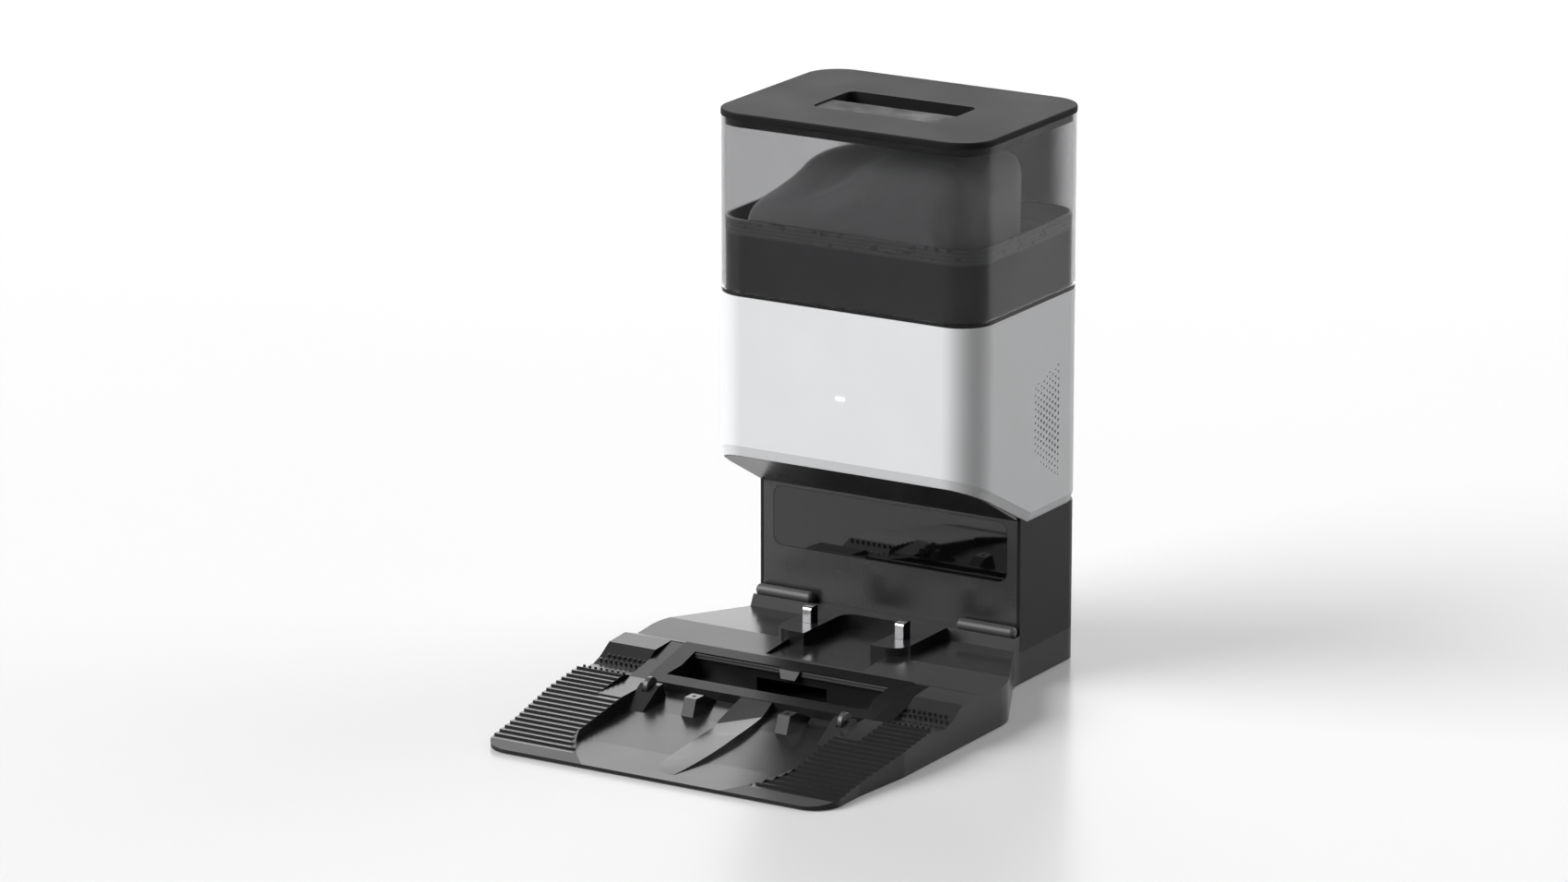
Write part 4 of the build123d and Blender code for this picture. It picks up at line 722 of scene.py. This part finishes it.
@dataclass
class RampBase:
    """The base on the floor: ramps, deck, rollers, contacts and what is under them."""

    spring_at: tuple[float, float] = (40.0, 71.75)
    spring_ends: tuple[float, float] = (7.0, 16.0)
    spring_radius: float = 2.9
    spring_wire: float = 0.45
    spring_turns: int = 4
    turn_steps: int = 24
    wire_sides: int = 8
    travel: float = 3.0

    def wind_spring(self, side: str, sign: int, steel: bpy.types.Material) -> None:
        """Winds a contact's coil spring at rest; it does not shorten as the contact goes down.

        Args:
            side: The contact's side, left or right.
            sign: -1 for left and 1 for right.
            steel: The wire's material.
        """
        name = "contact_coil_" + side
        foot, head = self.spring_ends
        centre_x, centre_y = sign * self.spring_at[0], self.spring_at[1]
        centre = Vector((centre_x, centre_y, foot + self.spring_wire)) * MM
        start = centre + Vector((self.spring_radius * MM, 0.0, 0.0))
        steps = self.turn_steps * self.spring_turns
        climb = head - foot - 2 * self.spring_wire
        slope = math.atan2(climb, math.tau * self.spring_turns * self.spring_radius)
        form = bmesh.new()
        bmesh.ops.create_circle(
            form,
            segments=self.wire_sides,
            radius=self.spring_wire * MM,
            matrix=Matrix.Translation(start) @ Matrix.Rotation(slope - math.pi / 2, 4, "X"),
        )
        bmesh.ops.spin(
            form,
            geom=form.verts[:] + form.edges[:],
            cent=centre,
            axis=(0, 0, 1),
            dvec=(0, 0, climb * MM / steps),
            angle=math.tau * self.spring_turns,
            steps=steps,
        )
        ends = [edge for edge in form.edges if edge.is_boundary]
        bmesh.ops.holes_fill(form, edges=ends, sides=self.wire_sides)
        bmesh.ops.recalc_face_normals(form, faces=form.faces)
        coil = add_piece(form, name)
        coil.data.materials.append(steel)
        smooth_faces(coil)
        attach(coil, Bodies.DOCK.value)
        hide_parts("contact_spring_" + side)
        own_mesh(coil)
        LOG.info("wound %s", name)

    def build(self, frame: dict) -> None:
        """Dresses the base's nodes and winds the contacts' springs.

        Args:
            frame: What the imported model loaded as.
        """
        dress(
            frame,
            MouldedPlastic(
                "black_abs_fine_grain",
                "1a1a1b",
                "1e1e1f",
                roughness=0.22,
                grain_mm=0.7,
                grain_depth=0.008,
                specular=0.2,
            ),
            ("base_plate", "contact_post_left", "contact_post_right"),
        )
        dress(
            frame,
            MouldedPlastic(
                "grey_tpe_pads", "3c3c3d", "414142", roughness=0.5, grain_mm=0.9, grain_depth=0.03
            ),
            ("bumper_pad_left", "bumper_pad_right"),
        )
        dress(
            frame,
            MouldedPlastic(
                "grey_acetal_rollers", "2a2a2b", "303031", roughness=0.34, grain_mm=0.5
            ),
            ("roller_left", "roller_right"),
        )
        dress(
            frame,
            Metal(
                "nickel_plated_contacts", "d2d2d4", roughness=0.12, line_mm=0.4, lay=Lay.ACROSS
            ),
            ("contact_strip_left", "contact_strip_right"),
        )
        wire = Metal("drawn_steel_wire", "9a9a9c", line_mm=0.3).material()
        self.wind_spring("left", -1, wire)
        self.wind_spring("right", 1, wire)
        dress(
            frame,
            Metal("blued_steel_axles", "242426", roughness=0.5, line_mm=0.3),
            ("axle_left", "axle_right"),
        )
        dress(frame, Rubber("black_epdm_seal", "161617"), ("slot_seal", "riser_gasket"))
        dress(frame, Rubber("grey_rubber_feet", "2c2c2d"), ("rubber_feet",))
        dress(
            frame,
            MouldedPlastic("dark_pp_inner", "2a2a2b", "303031", roughness=0.5, grain_mm=1.0),
            ("duct_cover", "contact_carrier_left", "contact_carrier_right", "air_riser"),
        )


@dataclass
class Column:
    """The slim column: its shell, front panel with the beacon window, rear and power parts."""

    def build(self, frame: dict) -> None:
        """Dresses the column's nodes.

        Args:
            frame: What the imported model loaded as.
        """
        dress(
            frame,
            MouldedPlastic("black_abs_column", "1f1f20", "242425", grain_mm=0.7, specular=0.12),
            ("column_shell", "rear_cover"),
        )
        dress(
            frame,
            MouldedPlastic(
                "black_abs_panel",
                "262627",
                "2b2b2c",
                roughness=0.26,
                grain_mm=0.7,
                grain_depth=0.01,
                specular=0.7,
            ),
            ("front_panel",),
        )
        dress(
            frame,
            PolishedPlastic("black_acrylic_window", "070708", roughness=0.03, coat=0.3),
            ("beacon_window",),
        )
        dress(
            frame,
            CircuitBoard("green_fibre_board", "14502c", "3d8a4f"),
            ("beacon_board", "power_board", "control_board", "status_board"),
        )
        dress(
            frame,
            MouldedPlastic("black_pbt_socket", "1a1a1b", "202021", roughness=0.45, grain_mm=0.4),
            ("power_inlet",),
        )
        dress(
            frame,
            Metal("black_zinc_screws", "3a3a3d", roughness=0.35, line_mm=0.4),
            ("base_screws", "cover_screws", "tray_screws"),
        )


@dataclass
class Head:
    """The white head with its vent and status light, and the blower and filter inside it."""

    lens_height: float = 222.0
    front: float = 47.4

    def build(self, frame: dict) -> None:
        """Dresses the head's nodes.

        Args:
            frame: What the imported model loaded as.
        """
        # The white shell gets a painted glow round the status lens
        dress(
            frame,
            LitPlastic(
                "white_abs_satin",
                "e8e9ea",
                "ebecee",
                roughness=0.38,
                grain_mm=0.5,
                grain_depth=0.006,
                patch=0.01,
                light_at=(0.0, self.front * MM, self.lens_height * MM),
            ),
            ("white_shell",),
        )
        dress(
            frame,
            PolishedPlastic("white_light_pipe", "f6f8fb", roughness=0.2, glow=1.2),
            ("status_lens",),
        )
        dress(
            frame,
            MouldedPlastic("grey_pp_inner", "303032", "363638", roughness=0.5, grain_mm=1.0),
            ("head_tray", "motor_housing", "filter_frame", "exhaust_duct"),
        )
        dress(
            frame,
            Metal("pressed_steel_motor", "9c9da0", roughness=0.35, line_mm=1.5),
            ("suction_motor", "fan_cover"),
        )
        dress(
            frame,
            Metal("cast_aluminium_fan", "b4b6b9", roughness=0.42, line_mm=0.9),
            ("fan_impeller",),
        )
        dress(
            frame,
            Rubber("black_rubber_rings", "1b1b1c"),
            ("motor_ring_lower", "motor_ring_upper"),
        )
        dress(frame, OpenFoam("charcoal_filter_foam", "1a1a1b", "060606"), ("exhaust_foam",))
        dress(
            frame,
            FibreSheet(
                "pleated_filter_paper", "dcdad2", "efeee8", fibre_mm=0.9, depth=0.05, sheen=0.1
            ),
            ("filter_media",),
        )


@dataclass
class BagBay:
    """The bag bin with its ribbed seal, and the fleece dust bag that rests in it.

    The bag is a cushion, more box than ball, that has slumped at its front left corner: its left
    side sinks and leans towards the middle.
    """

    wide: float = 186.0
    deep: float = 108.0
    low: float = 291.5
    high: float = 399.0
    middle: float = 110.5
    boxiness: int = 12
    cuts: int = 11
    slump: float = 34.0
    slump_from: float = 0.1
    slump_right: float = 0.25
    slump_back: float = 0.4
    slump_far: float = 0.45
    lean: float = 0.68
    lean_far: float = 0.4
    voxel: float = 5.0
    pressure: float = 4.0
    frames: int = 20
    swell: float = 2.0
    floor_slack: float = 0.9
    rear_slack: float = 4.0

    def settled(self, spot: Vector) -> Vector:
        """Moves a point of a two-unit cube to the bag.

        Args:
            spot: The point on the cube.

        Returns:
            The point on the bag, in metres.
        """
        reach = sum(abs(part) ** self.boxiness for part in spot) ** (1 / self.boxiness)
        across, back, up = (part / max(1.0, reach) for part in spot)
        above = max(0.0, (up + self.slump_from) / (1 + self.slump_from))
        left = max(0.0, self.slump_right - across) / (1 + self.slump_right)
        near = max(0.0, self.slump_back - back) / (1 + self.slump_back)
        across += self.lean * above**2 * left * (self.lean_far + (1 - self.lean_far) * near)
        drop = self.slump * above**2 * left * (self.slump_far + (1 - self.slump_far) * near)
        height = (self.low + self.high) / 2 + up * (self.high - self.low) / 2 - drop
        return Vector((across * self.wide / 2, self.middle + back * self.deep / 2, height)) * MM

    def bag_form(self) -> bpy.types.Object:
        """Makes the bag's slack form before it swells.

        Returns:
            The bag's object.
        """
        form = bmesh.new()
        bmesh.ops.create_cube(form, size=2.0)
        bmesh.ops.subdivide_edges(form, edges=form.edges, cuts=self.cuts, use_grid_fill=True)
        for vertex in form.verts:
            vertex.co = self.settled(vertex.co)
        return add_piece(form, "fleece_bag")

    def inflate(self, bag: bpy.types.Object) -> None:
        """Swells the bag a little, as the air blown into it does.

        Args:
            bag: The bag's object.
        """
        remesh = bag.modifiers.new("remesh", "REMESH")
        remesh.mode = "VOXEL"
        remesh.voxel_size = self.voxel * MM
        apply_modifier(bag, remesh)
        rest = [vertex.co.copy() for vertex in bag.data.vertices]
        cloth = bag.modifiers.new("cloth", "CLOTH")
        cloth.settings.use_pressure = True
        cloth.settings.uniform_pressure_force = self.pressure
        cloth.settings.effector_weights.gravity = 0.0
        for step in range(1, self.frames + 1):
            bpy.context.scene.frame_set(step)
        apply_modifier(bag, cloth)
        bpy.context.scene.frame_set(1)
        # The swell is kept small, and the bag clear of the bin's floor and of its collar
        for vertex, start in zip(bag.data.vertices, rest):
            move = vertex.co - start
            if move.length > self.swell * MM:
                vertex.co = start + move.normalized() * self.swell * MM
            vertex.co.z = max(vertex.co.z, (self.low - self.floor_slack) * MM)
            vertex.co.y = min(vertex.co.y, (self.middle + self.deep / 2 + self.rear_slack) * MM)
        smooth = bag.modifiers.new("smooth", "SUBSURF")
        smooth.levels = smooth.render_levels = 1
        apply_modifier(bag, smooth)
        smooth_faces(bag)

    def build(self, frame: dict) -> None:
        """Dresses the bin's nodes and makes the bag.

        Args:
            frame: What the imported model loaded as.
        """
        dress(
            frame,
            MouldedPlastic(
                "black_abs_bin", "39393a", "3e3e3f", roughness=0.34, grain_mm=0.8, specular=0.15
            ),
            ("bag_bin",),
        )
        dress(
            frame,
            Rubber("black_silicone_band", "434344", roughness=0.3, dust=0.0),
            ("bin_seal",),
        )
        dress(
            frame,
            PolishedPlastic("black_trim_ring", "0c0c0d", roughness=0.25, specular=0.2),
            ("trim_ring",),
        )
        dress(
            frame,
            FibreSheet(
                "grey_bag_card", "6d655a", "7f776b", fibre_mm=0.8, depth=0.03, sheen=0.05
            ),
            ("bag_collar",),
        )
        bag = self.bag_form()
        self.inflate(bag)
        fleece = FibreSheet("grey_fleece_bag", "555556", "676768", fibre_mm=1.4, depth=0.15)
        bag.data.materials.append(fleece.material())
        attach(bag, Bodies.DOCK.value)
        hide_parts("dust_bag")
        LOG.info("made the fleece bag")


@dataclass
class Lid:
    """The lift-off lid: smoky tub, black top plate with the finger recess, and its grip."""

    def build(self, frame: dict) -> None:
        """Dresses the lid's nodes.

        Args:
            frame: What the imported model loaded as.
        """
        dress(
            frame,
            SmokedPolycarbonate("smoked_polycarbonate_tub", "cfcfd0", roughness=0.1),
            ("lid_tub",),
        )
        dress(
            frame,
            MouldedPlastic(
                "black_abs_plate",
                "1c1c1d",
                "212122",
                roughness=0.54,
                grain_mm=0.5,
                grain_depth=0.015,
                specular=0.05,
            ),
            ("lid_plate",),
        )
        dress(
            frame,
            PolishedPlastic("black_gloss_grip", "161617", roughness=0.42, specular=0.04),
            ("lid_grip",),
        )


@dataclass
class Studio:
    """The pale floor, the white surroundings, three soft lamps and the camera."""

    azimuth: float = 31.18
    elevation: float = 15.59
    distance: float = 5.62366
    look_at: tuple[float, float, float] = (-0.01891, -0.00094, 0.19876)
    lens: float = 176.16
    sensor: float = 36.0
    clip: tuple[float, float] = (0.1, 100.0)
    pale: str = "f6f6f6"
    ambient: float = 0.16
    floor_seen: str = "c7c7c7"
    floor_lit: str = "6c6c6c"
    floor_ior: float = 1.17
    floor_roughness: tuple[float, float] = (0.2, 0.24)
    floor_cloud_mm: float = 800.0
    floor_radius: float = 60.0
    floor_sides: int = 96
    glow_near: float = 0.115
    glow_far: float = 0.0
    glow_reach: tuple[float, float] = (-0.42, 2.42)
    key: float = 4.0
    fill: float = 1.4
    rim: float = 0.7

    def towards(self, azimuth: float, elevation: float) -> Vector:
        """Gives the direction from the object to a place round it.

        Args:
            azimuth: Degrees round from the front, to the right.
            elevation: Degrees above the horizon.

        Returns:
            The direction as a unit vector.
        """
        turn, rise = math.radians(azimuth), math.radians(elevation)
        level = math.cos(rise)
        return Vector((math.sin(turn) * level, -math.cos(turn) * level, math.sin(rise)))

    def add_camera(self) -> None:
        """Adds the camera at the photograph's viewing angle."""
        data = bpy.data.cameras.new("camera")
        data.sensor_width = self.sensor
        data.lens = self.lens
        data.clip_start, data.clip_end = self.clip
        camera = bpy.data.objects.new("camera", data)
        back = self.towards(self.azimuth, self.elevation)
        camera.location = Vector(self.look_at) + back * self.distance
        camera.rotation_mode = "QUATERNION"
        camera.rotation_quaternion = (-back).to_track_quat("-Z", "Y")
        bpy.context.scene.collection.objects.link(camera)
        bpy.context.scene.camera = camera

    def add_lamp(
        self, name: str, azimuth: float, elevation: float, strength: float, angle: float
    ) -> None:
        """Adds one soft lamp as wide as a studio box.

        Args:
            name: The lamp's name.
            azimuth: Where it stands, in degrees from the front to the right.
            elevation: Its height, in degrees.
            strength: Its power.
            angle: How wide it looks from the object, in degrees.
        """
        data = bpy.data.lights.new(name, "SUN")
        data.energy = strength
        data.angle = math.radians(angle)
        lamp = bpy.data.objects.new(name, data)
        lamp.rotation_mode = "QUATERNION"
        lamp.rotation_quaternion = self.towards(azimuth, elevation).to_track_quat("Z", "Y")
        bpy.context.scene.collection.objects.link(lamp)

    def seen_rays(self, tree: bpy.types.NodeTree) -> Socket:
        """Tells camera, mirror and glass rays from the ones that light the object.

        Args:
            tree: The tree that uses it.

        Returns:
            A socket that is 1 for such rays.
        """
        path = add_node(tree, "ShaderNodeLightPath")
        seen = path.outputs["Is Camera Ray"]
        for kind in ("Is Glossy Ray", "Is Transmission Ray"):
            links = {0: seen, 1: path.outputs[kind]}
            seen = add_node(tree, "ShaderNodeMath", {"operation": "MAXIMUM"}, links).outputs[0]
        return seen

    def add_surroundings(self) -> None:
        """Sets the white surroundings, which light the object only a little."""
        world = bpy.data.worlds.new("white_studio")
        world.use_nodes = True
        bpy.context.scene.world = world
        tree = world.node_tree
        shown = tree.nodes["Background"]
        shown.inputs["Color"].default_value = linear(self.pale)
        strength = add_node(
            tree,
            "ShaderNodeMapRange",
            {"To Min": self.ambient, "To Max": 1.0},
            {"Value": self.seen_rays(tree)},
        )
        tree.links.new(strength.outputs["Result"], shown.inputs["Strength"])

    def add_floor(self) -> None:
        """Adds the pale floor, which keeps the object's soft shadow and a faint reflection."""
        form = bmesh.new()
        bmesh.ops.create_circle(
            form, cap_ends=True, radius=self.floor_radius, segments=self.floor_sides
        )
        floor = add_piece(form, "floor")
        look = Look("white_studio_floor")
        seen = self.seen_rays(look.tree)
        cloud = look.speckle(self.floor_cloud_mm, detail=1.0)
        look.surface(
            seen,
            (linear(self.floor_lit), linear(self.floor_seen)),
            rough=(cloud, *self.floor_roughness),
            settings={"IOR": self.floor_ior, "Emission Color": linear(WHITE)},
        )
        # A faint glow lifts the floor near the camera and fades behind the object
        away = self.towards(self.azimuth + 180.0, 0.0)
        depth = add_node(
            look.tree,
            "ShaderNodeVectorMath",
            {"operation": "DOT_PRODUCT", 1: away},
            {0: look.place},
        )
        fade = add_node(
            look.tree,
            "ShaderNodeMapRange",
            {
                "From Min": self.glow_reach[0],
                "From Max": self.glow_reach[1],
                "To Min": self.glow_near,
                "To Max": self.glow_far,
            },
            {"Value": depth.outputs["Value"]},
        )
        lift = add_node(
            look.tree,
            "ShaderNodeMath",
            {"operation": "MULTIPLY"},
            {0: seen, 1: fade.outputs["Result"]},
        )
        look.tree.links.new(lift.outputs["Value"], look.shader.inputs["Emission Strength"])
        floor.data.materials.append(look.material)

    def build(self) -> None:
        """Builds the studio."""
        bpy.context.scene.view_settings.view_transform = "Standard"
        self.add_camera()
        self.add_lamp("window_light_left", -47.0, 34.0, self.key, 44.0)
        self.add_lamp("wall_light_right", 145.0, 26.0, self.fill, 45.0)
        self.add_lamp("rim_light_back", 211.0, 18.0, self.rim, 40.0)
        self.add_surroundings()
        self.add_floor()


def main() -> None:
    """Loads the dock, dresses and completes it, and sets up the studio."""
    logging.basicConfig(level=logging.INFO, format="%(name)s: %(message)s")
    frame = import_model()
    for part in (RampBase(), Column(), Head(), BagBay(), Lid()):
        part.build(frame)
        LOG.info("finished %s", type(part).__name__)
    Studio().build()


if __name__ == "__main__":
    main()
